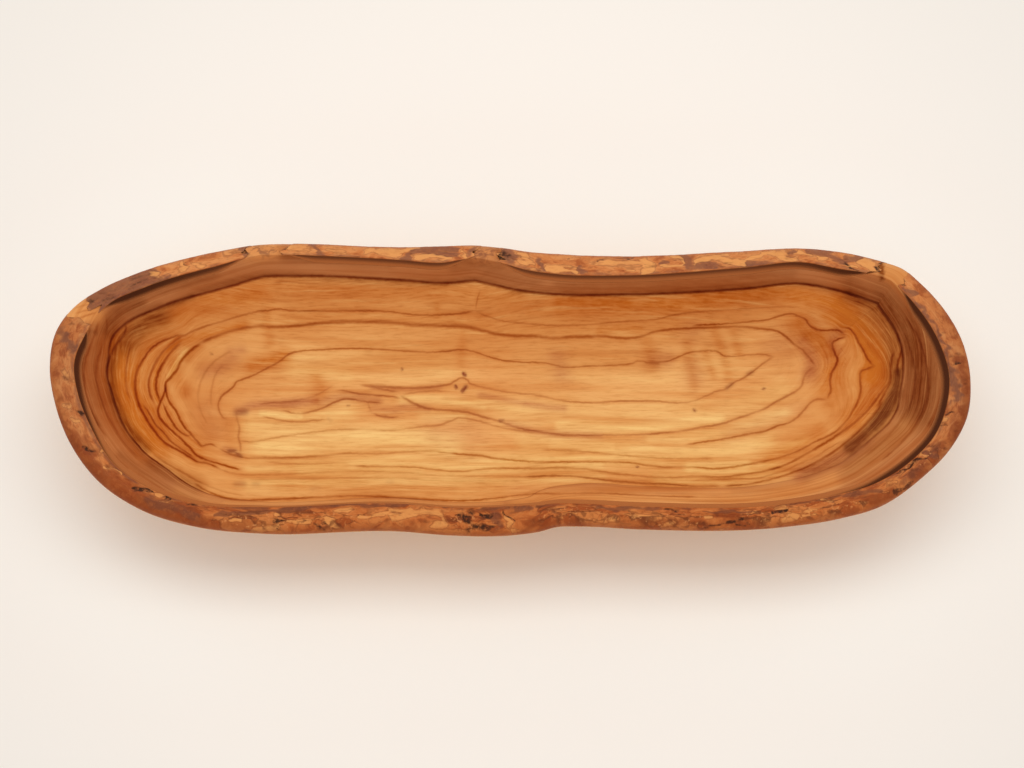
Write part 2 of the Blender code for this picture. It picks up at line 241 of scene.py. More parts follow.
     202, 414, 210, 428),
    ("left_arc_inner", None, (1.6, 2.4, 1.6), 0.28, 0.5, 224, 364, 216, 374, 212, 387, 211, 400, 213, 413),
    ("left_wall_outer", None, (2, 2.6, 2), 0.62, 0.2, 99, 320, 96, 331, 90, 346, 85, 362, 84, 380, 88, 400,
     96, 420, 108, 440),
    ("left_wall_inner", None, (1.6, 2.2, 1.6), 0.42, 0.2, 106, 313, 107, 329, 103, 345, 98, 358, 96, 375,
     100, 397, 110, 420, 122, 440, 140, 460),
    ("left_wall_loop", None, (1.6, 3, 2), 0.85, 0.2, 122, 320, 126, 327, 123, 336, 115, 346, 110, 358,
     107, 372),
    ("right_wall_outer", None, (1.4, 2.2, 1.4), 0.6, 0.2, 905, 315, 919, 340, 927, 368, 927, 395, 917, 422,
     900, 444, 880, 462),
    ("right_wall_inner", None, (1.4, 2, 1.4), 0.5, 0.2, 900, 325, 910, 348, 915, 372, 913, 396, 903, 418,
     886, 438, 864, 456),
    # front_crease: the dark line at the foot of the front wall, a ring partly drawn as painted crease shade
    ("front_crease", None, (1.8, 2, 1.6), 0.95, 0, 192, 482, 204, 489, 214, 494, 227, 498, 244, 500,
     262, 499.6, 290, 498.4, 320, 497, 345, 496, 366, 496, 390, 497, 416, 498.6, 440, 500, 468, 500.4,
     488, 499, 510, 496.6),
    ("left_wall_low", None, (1.6, 3, 1.6), 0.8, 0.1, 102, 440, 114, 456, 127, 469, 142, 480, 158, 490,
     176, 498),
    ("left_foot", None, (1.4, 2, 1.2), 0.5, 0, 150, 452, 168, 464, 184, 473, 200, 482, 222, 491, 246, 496),
    ("front_wall_line", None, (1.2, 1.8, 1.2), 0.6, 0, 500, 497.5, 515, 495.5, 535, 493.7, 570, 493.5,
     610, 493.6, 650, 495.5, 700, 497),
    ("right_lip_outer", None, (1.8, 2.8, 1.8), 1.1, 0.1, 903, 343, 900, 355, 897.5, 366, 899, 381),
    ("right_lip_inner", None, (2, 3.6, 2), 1.05, 0.1, 896, 349, 892, 358, 891, 370, 890.5, 381, 886, 391,
     880, 401, 875, 410),
    ("front_pale_line", None, (1.2, 1.8, 1.2), 0.5, 0, 540, 450, 575, 451, 600, 453, 620, 455, 650, 457.5,
     680, 458.5, 715, 458.5),
    ("front_third_dark", None, (1.4, 2, 1.4), 0.55, 0, 522, 476.8, 548, 475.8, 572, 476.2, 594, 478.5,
     615, 481.3, 640, 483, 668, 484, 690, 486, 722, 486.2),
)

# Soft stains of each kind in the photograph's pixels: width, strength, and then x and y of each point
STAINS = {
    "amber": (
        (34, 1, 120, 350, 124, 395, 150, 438), (22, 0.7, 150, 345, 146, 380, 160, 420, 196, 452),
        (7, 0.9, 178, 340, 162, 360, 154, 380, 157, 400), (20, 0.75, 150, 330, 200, 306, 260, 292),
        (15, 0.55, 260, 288, 360, 292, 470, 294, 560, 303),
        (16, 0.85, 560, 304, 680, 302, 790, 294, 850, 312), (26, 1.05, 840, 310, 868, 340, 874, 376),
        (26, 0.78, 876, 350, 874, 390, 854, 420), (8, 0.5, 812, 336, 822, 350, 825, 366, 818, 384),
        (3.5, 0.9, 820, 337, 828, 349, 832, 361, 828, 374),
        (14, 0.6, 842, 336, 848, 352, 846, 380, 832, 402), (13, 0.6, 820, 432, 795, 448, 772, 458),
        (7, 0.8, 184, 342, 200, 336, 216, 332, 244, 325), (9, 0.6, 172, 358, 174, 372, 184, 392),
        (8, 0.34, 280, 487, 330, 486, 420, 489, 500, 489), (14, 0.7, 128, 374, 133, 350, 150, 333, 192, 312),
        (6, 0.6, 187, 357, 199, 345), (7, 0.34, 650, 484, 720, 482, 770, 472),
        (9, 0.5, 152, 452, 173, 467, 200, 481), (17, 0.38, 290, 318, 400, 318, 500, 326, 600, 328, 680, 322),
        (19, 0.82, 800, 326, 820, 342, 834, 362, 830, 388), (10, 0.35, 231, 424, 233, 446),
        (9, 0.8, 252, 366, 268, 361, 284, 356), (8, 0.55, 316, 380, 322, 392, 316, 400),
        (4, 0.28, 276, 467, 310, 466, 345, 466), (5, 0.4, 770, 476, 800, 463, 846, 434),
        (8, 0.6, 640, 330, 626, 328, 600, 331), (6, 0.45, 268, 278, 266, 300, 270, 345),
        (6, 0.4, 357, 292, 357, 308), (6, 0.45, 437, 292, 437, 318), (6, 0.4, 463, 332, 461, 362),
        (5, 0.5, 714, 330, 722, 350, 729, 378), (5, 0.45, 734, 334, 739, 354), (6, 0.4, 687, 342, 694, 386),
        (9, 0.45, 646, 336, 652, 366), (4, 0.45, 705, 352, 714, 376), (8, 0.35, 620, 318, 622, 340),
        (8, 0.55, 530, 311, 552, 311),
    ),
    "plum": (
        (9, 0.55, 206, 372, 218, 368, 232, 360), (5, 0.5, 230, 352, 242, 350),
        (5, 0.75, 238, 411, 252, 406, 285, 404, 316, 401), (5, 0.55, 318, 403, 345, 397, 378, 400),
        (4.5, 0.5, 374, 408, 392, 410, 410, 407, 428, 409), (3, 0.5, 372, 388, 405, 390, 440, 387),
        (3, 0.48, 480, 395, 505, 400, 530, 404.5), (3.6, 0.62, 525, 403.5, 545, 407, 564, 408.5),
        (4, 0.5, 508, 424, 545, 433, 600, 436), (10, 0.45, 557, 358, 561, 374),
        (12, 0.3, 690, 336, 694, 328), (12, 0.35, 692, 366, 694, 378),
        (18, 0.35, 778, 345, 812, 336, 826, 345), (4, 0.45, 824, 349, 828, 361),
        (8, 0.85, 862, 440, 846, 453, 826, 464, 800, 475), (9, 0.75, 803, 342, 812, 358, 810, 374),
        (8, 0.65, 840, 332, 831, 341, 835, 352), (10, 0.22, 730, 434, 770, 422, 800, 408),
        (9, 0.45, 654, 360, 668, 360), (5, 0.55, 226, 450, 236, 455), (16, 0.3, 205, 412, 212, 428),
        (20, 0.28, 440, 432, 470, 434),
    ),
    "pale": (
        (9, 0.9, 690, 467, 745, 465), (7, 0.45, 424, 415, 462, 415), (12, 0.5, 296, 368, 345, 372),
        (15, 0.75, 262, 446, 400, 440, 450, 450),
        (13, 0.6, 300, 467, 400, 464, 500, 464, 620, 456, 710, 452, 765, 442),
        (7, 0.5, 250, 484, 360, 480, 480, 480, 600, 478), (11, 0.6, 525, 444, 600, 446, 650, 449),
        (8, 0.8, 552, 445, 612, 447), (7, 0.75, 500, 461, 560, 465, 600, 464), (8, 0.6, 446, 479, 480, 478),
        (15, 0.6, 252, 426, 300, 428, 345, 412), (5, 0.7, 402, 400, 430, 400, 456, 402, 484, 407),
        (7, 0.5, 476, 402, 520, 412, 560, 418), (5, 0.8, 262, 414, 282, 416, 300, 417),
        (14, 0.45, 690, 420, 740, 408, 780, 392), (8, 0.85, 560, 426, 640, 427, 720, 419),
        (8, 0.6, 650, 440, 720, 432, 784, 413), (6, 0.35, 690, 461, 760, 455, 804, 440),
        (6, 0.5, 250, 469, 270, 469, 300, 468), (10, 0.6, 300, 470, 420, 470),
        (11, 0.6, 660, 480, 730, 477, 770, 468), (18, 0.26, 300, 367, 380, 366, 440, 370),
        (24, 0.2, 560, 385, 650, 380, 720, 370), (20, 0.4, 520, 414, 600, 418, 700, 412),
        (4, 0.7, 186, 350, 176, 364, 171, 375),
    ),
    "dark": (
        (2, 0.95, 463.5, 373.5, 465, 375.5), (2.4, 0.85, 462.5, 391, 466, 387),
        (1.8, 0.85, 455.5, 386, 456.5, 388), (1.8, 0.7, 694, 410, 695, 411), (1.6, 0.8, 763, 389, 764, 389),
        (1.6, 0.7, 402, 369, 402, 370), (1.3, 0.65, 211, 354, 212, 354), (1.3, 0.6, 347, 406, 349, 406),
        (2.2, 0.3, 328, 419, 331, 421), (2.2, 0.65, 500, 421, 503, 421), (4.5, 0.5, 237, 413, 245, 412),
        (2.4, 0.6, 237, 454, 241, 457), (2.6, 0.6, 229, 451, 235, 451), (1.4, 0.7, 637, 467, 638, 467),
        (4, 0.35, 236, 484, 244, 484), (4, 0.3, 254, 484, 258, 484), (4, 0.25, 312, 489, 318, 488),
        (3, 0.25, 388, 482, 392, 482), (3, 0.45, 748, 374, 752, 372), (3, 0.45, 727, 388, 732, 384),
    ),
}

# Tones of the inner wall and of the bare patches on the rim, in the same way; umber is partly darker wall
# wood and partly painted shade under the bark, along the crease and on the back and end walls
WALL_TONES = {
    "umber": (
        (24, 0.82, 884, 308, 910, 338, 922, 380, 918, 408), (9, 0.72, 887, 332, 894, 356, 895, 382),
        (13, 0.8, 124, 344, 138, 328, 158, 316), (13, 0.36, 908, 422, 884, 444, 850, 466),
        (10, 0.55, 140, 303, 118, 313, 108, 330), (10, 0.45, 850, 285, 884, 305),
        (14, 0.22, 100, 330, 92, 370, 96, 400), (9, 0.35, 150, 292, 210, 276),
        (9, 0.25, 560, 285, 680, 284, 790, 272), (5, 0.32, 120, 455, 160, 485, 196, 502),
        (6, 0.75, 134, 326, 118, 346, 111, 372, 114, 398, 126, 424, 146, 450),
        (4, 0.45, 150, 314, 200, 292, 262, 276, 340, 279, 445, 283, 478, 280, 520, 291),
        (4, 0.45, 520, 291, 620, 294, 740, 287, 795, 283, 850, 294), (9, 0.8, 850, 294, 882, 312, 899, 340),
        (7, 0.36, 856, 446, 836, 460, 806, 475), (6, 0.14, 806, 476, 770, 485, 735, 489),
        (9, 0.48, 152, 464, 172, 475, 196, 486), (10, 0.28, 488, 270, 510, 278, 535, 283),
        (5, 0.5, 284, 256.5, 300, 258, 330, 259.5, 363, 261.5, 390, 262.5),
        (8, 0.4, 455, 265, 475, 264, 500, 267), (4, 0.6, 90, 332, 82, 360, 81, 384, 87, 406, 96, 424),
        (5, 0.7, 928, 318, 940, 346, 944, 376, 940, 404, 930, 424),
        (4, 0.7, 119, 338, 131, 326, 147, 317, 166, 307, 192, 296), (3, 0.6, 88, 330, 96, 333),
        (3, 0.7, 497, 249, 500, 258), (2.6, 1.3, 881, 262, 882, 279),
    ),
    "tan": (
        (14, 1, 520, 497, 600, 498, 690, 499, 770, 495, 830, 478), (12, 0.6, 830, 478, 866, 460, 905, 425),
        (8, 0.5, 180, 492, 220, 503), (5, 0.75, 225, 503, 300, 502.5, 360, 500, 440, 503.5, 500, 502),
        (9, 1.9, 72, 313, 84, 311, 94, 313), (10, 1, 250, 251, 262, 250, 270, 249),
        (9, 1.9, 888, 269, 908, 281),
    ),
    "facet": (
        (5, 0.8, 898, 372, 897, 384, 893, 398), (8, 0.92, 895, 394, 886, 411, 874, 426),
        (8, 0.74, 880, 418, 866, 434, 850, 448),
    ),
    "mottle": (
        (7, 0.7, 248, 249, 262, 251, 272, 250), (8, 0.6, 478, 252, 490, 254),
    ),
}

# Marks on the bark in the same way: yellow wood laid bare, purple and black layers, deep red and busy flakes
BARK_MARKS = {
    "yellow": (
        (4, 0.8, 150, 274, 157, 275), (4.5, 0.8, 180, 268, 184, 263), (4, 0.7, 196, 264, 206, 266),
        (5, 0.7, 225, 255, 238, 250), (6, 0.8, 290, 249, 305, 248), (5, 0.6, 330, 250, 345, 252),
        (3.8, 1, 366, 251, 400, 252, 417, 248.5), (3.4, 1, 420, 258, 432, 255.5, 445, 258.5),
        (3, 0.9, 462, 250, 463, 257), (3.8, 0.8, 518, 253, 524, 261, 532, 266),
        (4.4, 1, 550, 269, 562, 268, 576, 271), (5.6, 1, 642, 262, 648, 268, 651, 271),
        (1.8, 0.9, 625, 269, 636, 269), (2.4, 1, 660, 266, 672, 266, 680, 260, 676, 256),
        (3.6, 1, 698, 261, 712, 258, 730, 262, 742, 264), (2.2, 1, 712, 256, 728, 254),
        (2.6, 1, 745, 260, 756, 257, 767, 253), (4.2, 1, 772, 252, 784, 254, 792, 258),
        (3.5, 0.7, 798, 252, 812, 256), (3, 0.8, 818, 259, 828, 259), (1.7, 1, 846, 268, 857, 267),
        (5, 1.2, 867, 261, 871, 267, 873, 275), (3.5, 1, 944, 419, 950, 419), (2.2, 0.9, 916, 457, 926, 457),
        (1.8, 0.9, 906, 464, 911, 463), (3.4, 0.6, 886, 484, 895, 481), (2.6, 0.7, 880, 492, 886, 491),
        (3.2, 0.9, 853, 503, 860, 502), (1.4, 1, 820, 501, 838, 501), (1.2, 1, 806, 513, 818, 512),
        (1.2, 1, 806, 517, 819, 515.5), (2.4, 0.5, 826, 511, 842, 508), (5.2, 1, 786, 519, 797, 516),
        (2.2, 1, 778, 508, 789, 506), (2.4, 0.7, 752, 512, 770, 514), (2.4, 0.7, 758, 520, 770, 522),
        (2.4, 1, 700, 517, 709, 517), (2.2, 0.8, 716, 530, 728, 528), (3, 0.6, 612, 518, 624, 515, 640, 517),
        (1.8, 0.6, 622, 525, 634, 523, 648, 522), (2.6, 0.5, 668, 524, 674, 522),
        (1.6, 0.5, 552, 510, 572, 509), (1.4, 0.5, 560, 516, 570, 514), (1.8, 0.5, 596, 522, 606, 522),
        (3.8, 1, 505, 516, 512, 520, 508, 525), (2.5, 0.9, 512, 530, 518, 531),
        (4.2, 1, 392, 519, 404, 515, 416, 513, 430, 511, 440, 514, 443, 520, 434, 524),
        (3.2, 1, 341, 511, 351, 510), (2.6, 0.9, 362, 516, 382, 516), (3, 1, 386, 510, 410, 510),
        (5, 1, 326, 520, 333, 524), (3.6, 1, 288, 521, 300, 524, 312, 523),
        (3.2, 1, 258, 530, 270, 529, 280, 527), (2.2, 0.8, 235, 519, 244, 520),
        (2.2, 0.7, 276, 514, 290, 513), (2.6, 1, 154, 494, 163, 494), (1.8, 0.7, 160, 501, 172, 501),
        (3, 0.9, 98, 452, 103, 451), (1.3, 0.9, 110, 466, 124, 474), (3, 0.9, 70, 404, 74, 406),
        (2.2, 0.9, 77, 420, 80, 420), (5, 0.7, 62, 372, 74, 380), (5, 0.7, 596, 262, 645, 262),
        (5, 0.5, 620, 516, 660, 517),
    ),
    "purple": (
        (10, 1.3, 92, 302, 120, 287, 150, 277), (6, 0.8, 62, 330, 72, 350), (2.6, 0.9, 152, 281, 168, 275),
        (4, 1, 244, 247, 249, 256), (4, 0.9, 272, 248, 278, 256), (3, 1, 311, 246, 324, 256),
        (3.2, 1, 400, 259, 412, 256, 421, 249, 440, 247, 455, 249), (4.6, 1, 428, 250, 440, 253, 455, 256),
        (4, 0.7, 466, 256, 474, 248), (6, 1, 504, 251, 512, 261), (3.5, 1, 534, 260, 545, 269),
        (3.5, 1, 580, 268, 585, 272), (2.2, 0.4, 588, 272, 640, 273), (2.2, 0.9, 657, 263, 664, 262),
        (6, 1, 682, 257, 690, 265, 714, 267), (3.2, 0.8, 742, 265, 776, 263), (2.6, 1, 790, 251, 796, 253),
        (4.4, 1, 810, 251, 826, 254, 843, 262), (3.8, 1, 848, 258, 868, 258), (4, 1, 906, 288, 912, 292),
        (3.4, 0.8, 917, 303, 934, 325, 944, 350, 951, 390), (5, 0.9, 953, 370, 955, 398),
        (3.2, 1, 918, 452, 934, 456), (2.6, 0.9, 848, 494, 878, 490), (3.2, 1, 513, 508, 530, 508),
        (2.2, 0.9, 598, 507, 660, 509), (2.8, 1, 215, 514, 262, 512, 300, 507, 314, 505),
        (1.8, 0.9, 330, 505, 410, 505, 500, 506), (1.8, 0.8, 700, 511, 760, 511),
        (8, 0.6, 903, 480, 922, 463, 935, 446), (7, 0.8, 150, 500, 196, 516), (6, 0.9, 492, 516, 498, 524),
    ),
    "black": (
        (2.4, 1, 497, 249, 499, 257), (8, 0.52, 92, 302, 120, 288, 150, 277), (6, 0.75, 500, 251, 508, 260),
        (6, 0.8, 466, 513, 472, 520, 470, 528), (3, 1, 878, 261, 880, 277), (2.2, 0.8, 843, 263, 852, 271),
        (3.6, 1, 895, 493, 903, 491, 912, 484), (2.4, 0.9, 662, 510, 680, 510),
        (1.8, 1, 699, 527, 714, 525, 730, 521, 744, 519), (1.3, 1, 736, 524, 746, 526, 752, 524),
        (2.4, 1, 775, 513, 789, 510), (1.4, 0.9, 947, 414, 956, 412), (1.4, 0.9, 942, 424, 951, 425),
        (1.4, 1, 898, 473, 914, 462, 925, 460), (4.4, 0.9, 457, 516, 470, 522, 488, 527),
        (2.2, 1, 480, 514, 488, 516), (1.4, 1, 502, 512, 518, 520, 503, 528), (2.2, 0.9, 321, 521, 323, 523),
        (2.6, 0.9, 316, 525, 321, 529), (2.4, 1, 273, 521, 285, 521), (2.2, 0.9, 279, 530, 282, 527),
        (3.4, 1, 136, 490, 150, 490), (1.8, 1, 164, 497, 168, 498), (2.2, 0.8, 186, 504, 194, 505),
        (2.6, 1, 80, 412, 82, 414), (2.6, 1, 86, 449, 91, 452), (1.2, 0.8, 187, 265, 194, 261),
        (1.2, 0.8, 566, 258, 574, 258), (1.2, 0.8, 596, 260, 606, 260), (1.2, 0.8, 626, 259, 634, 258),
        (1.2, 0.9, 952, 364, 962, 362),
    ),
    "red": (
        (12, 1, 70, 440, 110, 480, 160, 512, 205, 524), (7, 0.8, 165, 508, 200, 514),
        (5, 0.6, 58, 400, 66, 430), (7, 0.8, 962, 360, 966, 400, 955, 440), (8, 0.9, 940, 445, 915, 472),
        (6, 0.9, 870, 499, 890, 493), (4, 0.9, 712, 514, 735, 514), (5, 0.8, 528, 522, 546, 524),
        (6, 0.6, 655, 522, 700, 523), (5, 0.6, 800, 515, 815, 520), (8, 0.5, 215, 522, 255, 524),
    ),
}
BUSY_FLAKES = {
    "busy": (
        (9, 1, 545, 514, 600, 516), (9, 1, 660, 520, 692, 522), (9, 0.9, 748, 515, 775, 518),
        (9, 1, 225, 521, 325, 520), (8, 0.7, 325, 520, 390, 516), (8, 0.6, 600, 517, 660, 517),
        (8, 0.7, 780, 514, 860, 504), (10, 0.9, 455, 520, 490, 523), (9, 0.9, 905, 466, 940, 450),
        (7, 0.4, 515, 258, 545, 266),
    ),
}

# Ridges that the gouge left in the scoop: height in metres, and then x and y of each point in the photograph
GOUGE_RIDGES = (
    (0.00050, 237, 404, 239, 425, 240.5, 445, 241, 480),
    (0.00045, 262, 279, 264, 295, 266, 318),
    (0.00045, 481, 284, 478, 298, 474, 320),
)
RIDGE_REACH = 7.0
RIDGE_SPAN = 2.5
RIDGE_FADE = 5


def cubic(t, step, start, end, leaving, arriving):
    """A cubic between two values with a slope at each, at shares of the step between them."""
    return (
        start * (1 + 2 * t) * (1 - t) ** 2
        + end * t * t * (3 - 2 * t)
        + leaving * step * t * (1 - t) ** 2
        - arriving * step * t * t * (1 - t)
    )


def closed_curve(knots, period, values, at, corners=()):
    """A closed cubic curve through the values, smooth at every knot but the corners."""
    steps = np.diff(np.append(knots, period))
    slopes = (np.roll(values, -1) - values) / steps
    slopes_before = np.roll(slopes, 1)
    steps_before = np.roll(steps, 1)
    leaving = (steps * slopes_before + steps_before * slopes) / (steps + steps_before)
    arriving = leaving.copy()
    for corner in corners:
        leaving[corner] = slopes[corner]
        arriving[corner] = slopes_before[corner]
    at = np.mod(at, period)
    here = np.searchsorted(knots, at, side="right") - 1
    after = (here + 1) % len(knots)
    t = (at - knots[here]) / steps[here]
    return cubic(t, steps[here], values[here], values[after], leaving[here], arriving[after])


def open_curve(points, step=1.0):
    """A smooth line through points, given as x and y in turn, read at even steps."""
    points = np.array(points, float).reshape(-1, 2)
    chords = np.linalg.norm(np.diff(points, axis=0), axis=1)
    knots = np.append(0, np.cumsum(chords))
    slopes = np.diff(points, axis=0) / chords[:, None]
    tangents = np.concatenate((slopes[:1], (slopes[1:] + slopes[:-1]) / 2, slopes[-1:]))
    at = np.linspace(0, knots[-1], max(3, int(knots[-1] / step)))
    here = np.clip(np.searchsorted(knots, at, side="right") - 1, 0, len(chords) - 1)
    t = ((at - knots[here]) / chords[here])[:, None]
    length = chords[here][:, None]
    return cubic(t, length, points[here], points[here + 1], tangents[here], tangents[here + 1])


def smooth(share):
    """0 below 0, 1 above 1, and an even rise between."""
    share = np.clip(share, 0, 1)
    return share * share * (3 - 2 * share)


def log_surface(across):
    """Height of the log's round surface at a distance from its crown line."""
    return CROWN_HEIGHT - LOG_RADIUS + np.sqrt(LOG_RADIUS**2 - across**2)


class Rim:
    """The rim's outer edge and what follows it, read at stations all the way round."""

    def __init__(self, around, nose_steps, rim_steps):
        self.around, self.nose_steps, self.rim_steps = around, nose_steps, rim_steps
        self.half = np.array((LENGTH, WIDTH)) / 2
        points = STATIONS[:, :2] * self.half
        chords = np.linalg.norm(np.roll(points, -1, 0) - points, axis=1)
        self.knots = np.append(0, np.cumsum(chords)[:-1])
        self.period = chords.sum()
        dense = self.raw_edge(np.linspace(0, self.period, MEASURING_POINTS, endpoint=False))
        low, high = dense.min(0), dense.max(0)
        self.centre = (low + high) / 2
        self.fit = 2 * self.half / (high - low)
        self.place_strips()
        self.read_stations()

    def follow(self, values, at, corners=()):
        """Values at the stations, carried smoothly round the rim."""
        return closed_curve(self.knots, self.period, values, at, corners)

    def raw_edge(self, at):
        """The smooth curve through the stations."""
        return np.column_stack([self.follow(STATIONS[:, i] * self.half[i], at) for i in (0, 1)])

    def edge(self, at):
        """The rim's outer edge in plan, centred and at its real length and width."""
        return (self.raw_edge(at) - self.centre) * self.fit

    def place_strips(self):
        """Distances round the rim at which each bare patch starts and ends."""
        rear = np.linspace(self.knots[LEFT_END], self.knots[RIGHT_END], MEASURING_POINTS)
        along = self.edge(rear)[:, 0]
        self.ends = []
        for name, start, end in BARE_PATCHES:
            bare_from, bare_to = np.interp(np.array((start, end)) * LENGTH / 2, along, rear)
            self.ends.append((name, bare_from, bare_to))

    def read_stations(self):
        """Even stations between the ends of the strips, so that every strip starts and ends on one."""
        breaks = sorted(at for _, start, end in self.ends for at in (start, end))
        at = []
        for start, end in zip(breaks, breaks[1:] + [breaks[0] + self.period]):
            count = max(2, round(self.around * (end - start) / self.period))
            at.extend(np.linspace(start, end, count, endpoint=False))
        self.at = np.array(at)
        self.outer = self.edge(self.at)
        nudge = self.period / self.around
        ahead = self.edge(self.at + nudge) - self.edge(self.at - nudge)
        ahead /= np.linalg.norm(ahead, axis=1)[:, None]
        self.inward = np.column_stack((ahead[:, 1], -ahead[:, 0]))
        self.width = RIM_WIDTH * self.follow(STATIONS[:, 2], self.at, (RIDGE, KNOT))
        flare = self.follow(STATIONS[:, 3], self.at)
        self.run = WALL_RUN * flare
        self.drop = WALL_DROP + FLARE_DROP * (flare - 1)
        self.bare = self.bareness()

    def bareness(self):
        """1 on bare wood, falling to 0 where the bark has its full thickness."""
        bare = np.zeros(len(self.at))
        for _, start, end in self.ends:
            middle, half = (start + end) / 2, (end - start) / 2
            away = np.abs(np.mod(self.at - middle + self.period / 2, self.period) - self.period / 2) - half
            bare = np.maximum(bare, smooth(1 - away / BARK_TAPER))
        return bare

    def inset(self, distance):
        """Plan points a distance in from the outer edge, square to it."""
        return self.outer + self.inward * np.asarray(distance).reshape(-1, 1)

    def on_log(self, distance, depth):
        """Points a distance in from the outer edge and a depth below the log's surface."""
        plan = self.inset(np.broadcast_to(distance, self.at.shape))
        return np.column_stack((plan, log_surface(plan[:, 1]) - depth))

    def on_wall(self, depth):
        """Points on the inner wall, a depth below its top edge."""
        top = self.inset(self.width)
        plan = self.inset(self.width + self.run * depth / self.drop)
        return np.column_stack((plan, log_surface(top[:, 1]) - depth))

    def face(self, depth_below):
        """Rings from the outer edge, over its rounding and across the rim to the wall's top edge."""
        rings = []
        for step in range(self.nose_steps + 1):
            angle = math.pi / 2 * step / self.nose_steps
            nose_depth = (BARK_THICKNESS - BARK_LIP) * (1 - math.sin(angle))
            rings.append(self.on_log(EDGE_ROUND * (1 - math.cos(angle)), depth_below(nose_depth)))
        for share in np.linspace(0, 1, self.rim_steps + 1)[1:-1]:
            rings.append(self.on_log(EDGE_ROUND + (self.width - EDGE_ROUND) * share, depth_below(0)))
        rings.append(self.on_wall(depth_below(0)))
        return rings

    def seat_depth(self, nose_depth, clearance=0.0):
        """Depth of the wood under the bark, which rises to the rim's own rounding where it is bare."""
        covered = BARK_THICKNESS * (1 - self.bare)
        return covered + (nose_depth + BARK_TORN_EDGE) * self.bare - clearance


def swept_rings(foot, foot_height, top, power, shares):
    """Rings from a level outline out to another, rising with a power of the share of the way."""
    rings = []
    for share in shares:
        plan = foot + (top[:, :2] - foot) * share
        rings.append(np.column_stack((plan, foot_height + (top[:, 2] - foot_height) * share**power)))
    return rings


def hull_rings(rim):
    """The outer wall, from the edge of the flat underside up to just below the bark."""
    top = rim.on_log(0, BARK_THICKNESS + SEAT_STEP)
    base = rim.outer * np.array((BASE_LENGTH / LENGTH, BASE_WIDTH / WIDTH))
    return swept_rings(base, 0, top, HULL_POWER, np.linspace(0, 1, HULL_RINGS + 1))


def wall_rings(rim):
    """The inner wall, from below its top edge down to the crease."""
    top = rim.seat_depth(0)
    return [rim.on_wall(top + (rim.drop - top) * share) for share in np.linspace(0, 1, WALL_RINGS + 1)[1:]]


def scoop_rings(rim):
    """The scoop, from below the crease at the foot of the wall down to the edge of the flat floor."""
    crease = rim.on_wall(rim.drop)
    reach = crease[:, :2].max(0) - crease[:, :2].min(0)
    floor = crease[:, :2] * np.array((FLOOR_LENGTH, FLOOR_WIDTH)) / reach
    shares = np.linspace(1, 0, SCOOP_RINGS + 1)[1:]
    return swept_rings(floor, FLOOR_THICKNESS, crease, SCOOP_POWER, shares)


def flat_net(ring, step):
    """Points inside a closed level ring, set out evenly, and the triangles that fill it."""
    plan = ring[:, :2]
    count = len(plan)
    low, high = plan.min(0), plan.max(0)
    columns = np.arange(low[0], high[0], step)
    rows = np.arange(low[1], high[1], step * math.sqrt(3) / 2)
    grid = [(x + step / 2 * (j % 2), y) for j, y in enumerate(rows) for x in columns]
    inner = []
    for x, y in grid:
        gap = np.min(np.hypot(plan[:, 0] - x, plan[:, 1] - y))
        if gap > step * NET_MARGIN:
            inner.append((x, y))
    points = [Vector(point) for point in plan] + [Vector(point) for point in inner]
    edges = [(i, (i + 1) % count) for i in range(count)]
    _, _, faces, origin, _, _ = delaunay_2d_cdt(points, edges, [], 1, NET_TOLERANCE)
    source = [sources[0] for sources in origin]
    used = sorted({source[corner] for face in faces for corner in face} - set(range(count)))
    number = {old: count + new for new, old in enumerate(used)}
    number.update((i, i) for i in range(count))
    triangles = [tuple(number[source[corner]] for corner in face) for face in faces]
    return np.array([(*points[old], ring[0, 2]) for old in used]), triangles


def to_photo(points):
    """Pixels of the photograph at which points show."""
    away = points - LOOK_AT
    depth = DISTANCE - away @ TOWARDS_CAMERA
    across = FOCAL * away[:, 0] / depth
    up = FOCAL * (away @ CAMERA_UP) / depth
    return LOOK_AT_PIXEL + np.column_stack((across, -up))


# Drawing in pixels: points worked on at a time, values in a field, and reach, ends and channels of the lines
BLOCK = 4000
FIELD_SIZE = 4
LINE_CHANNELS = 6
LINE_REACH = 9.0
LINE_KEEP = 5.0
CHANNEL_GAP = 16.0
CHANNEL_STEP = 3
END_TAPER = 10.0
STROKE_REACH = 2.2


def blocks(count):
    """The numbers up to a count, cut into blocks that fit in memory."""
    return np.array_split(np.arange(count), count // BLOCK + 1)


def nearest_on(line, pixels, reach):
    """For the pixels within reach of a line: their numbers, signed distance and place along it."""
    low, high = line.min(0) - reach, line.max(0) + reach
    near = np.flatnonzero(np.all((pixels > low) & (pixels < high), axis=1))
    ahead = np.gradient(line, axis=0)
    ahead /= np.linalg.norm(ahead, axis=1)[:, None]
    distance = np.empty(len(near))
    place = np.empty(len(near))
    for part in blocks(len(near)):
        away = pixels[near[part]][:, None, :] - line[None]
        closest = np.argmin((away**2).sum(2), axis=1)
        offset = away[np.arange(len(part)), closest]
        side = ahead[closest, 0] * offset[:, 1] - ahead[closest, 1] * offset[:, 0]
        distance[part] = np.copysign(np.linalg.norm(offset, axis=1), side)
        place[part] = closest / (len(line) - 1)
    return near, distance, place


def sort_into_channels(curves):
    """A channel for each line, so that lines in one channel stay apart."""
    channels = [[] for _ in range(LINE_CHANNELS)]
    chosen = []
    for curve in curves:
        gaps = []
        for channel in channels:
            gap = CHANNEL_GAP
            for other in channel:
                spans = curve[::CHANNEL_STEP][:, None] - other[::CHANNEL_STEP][None]
                gap = min(gap, np.sqrt((spans**2).sum(2).min()))
            gaps.append(gap)
        best = int(np.argmax(gaps))
        channels[best].append(curve)
        chosen.append(best)
    return chosen


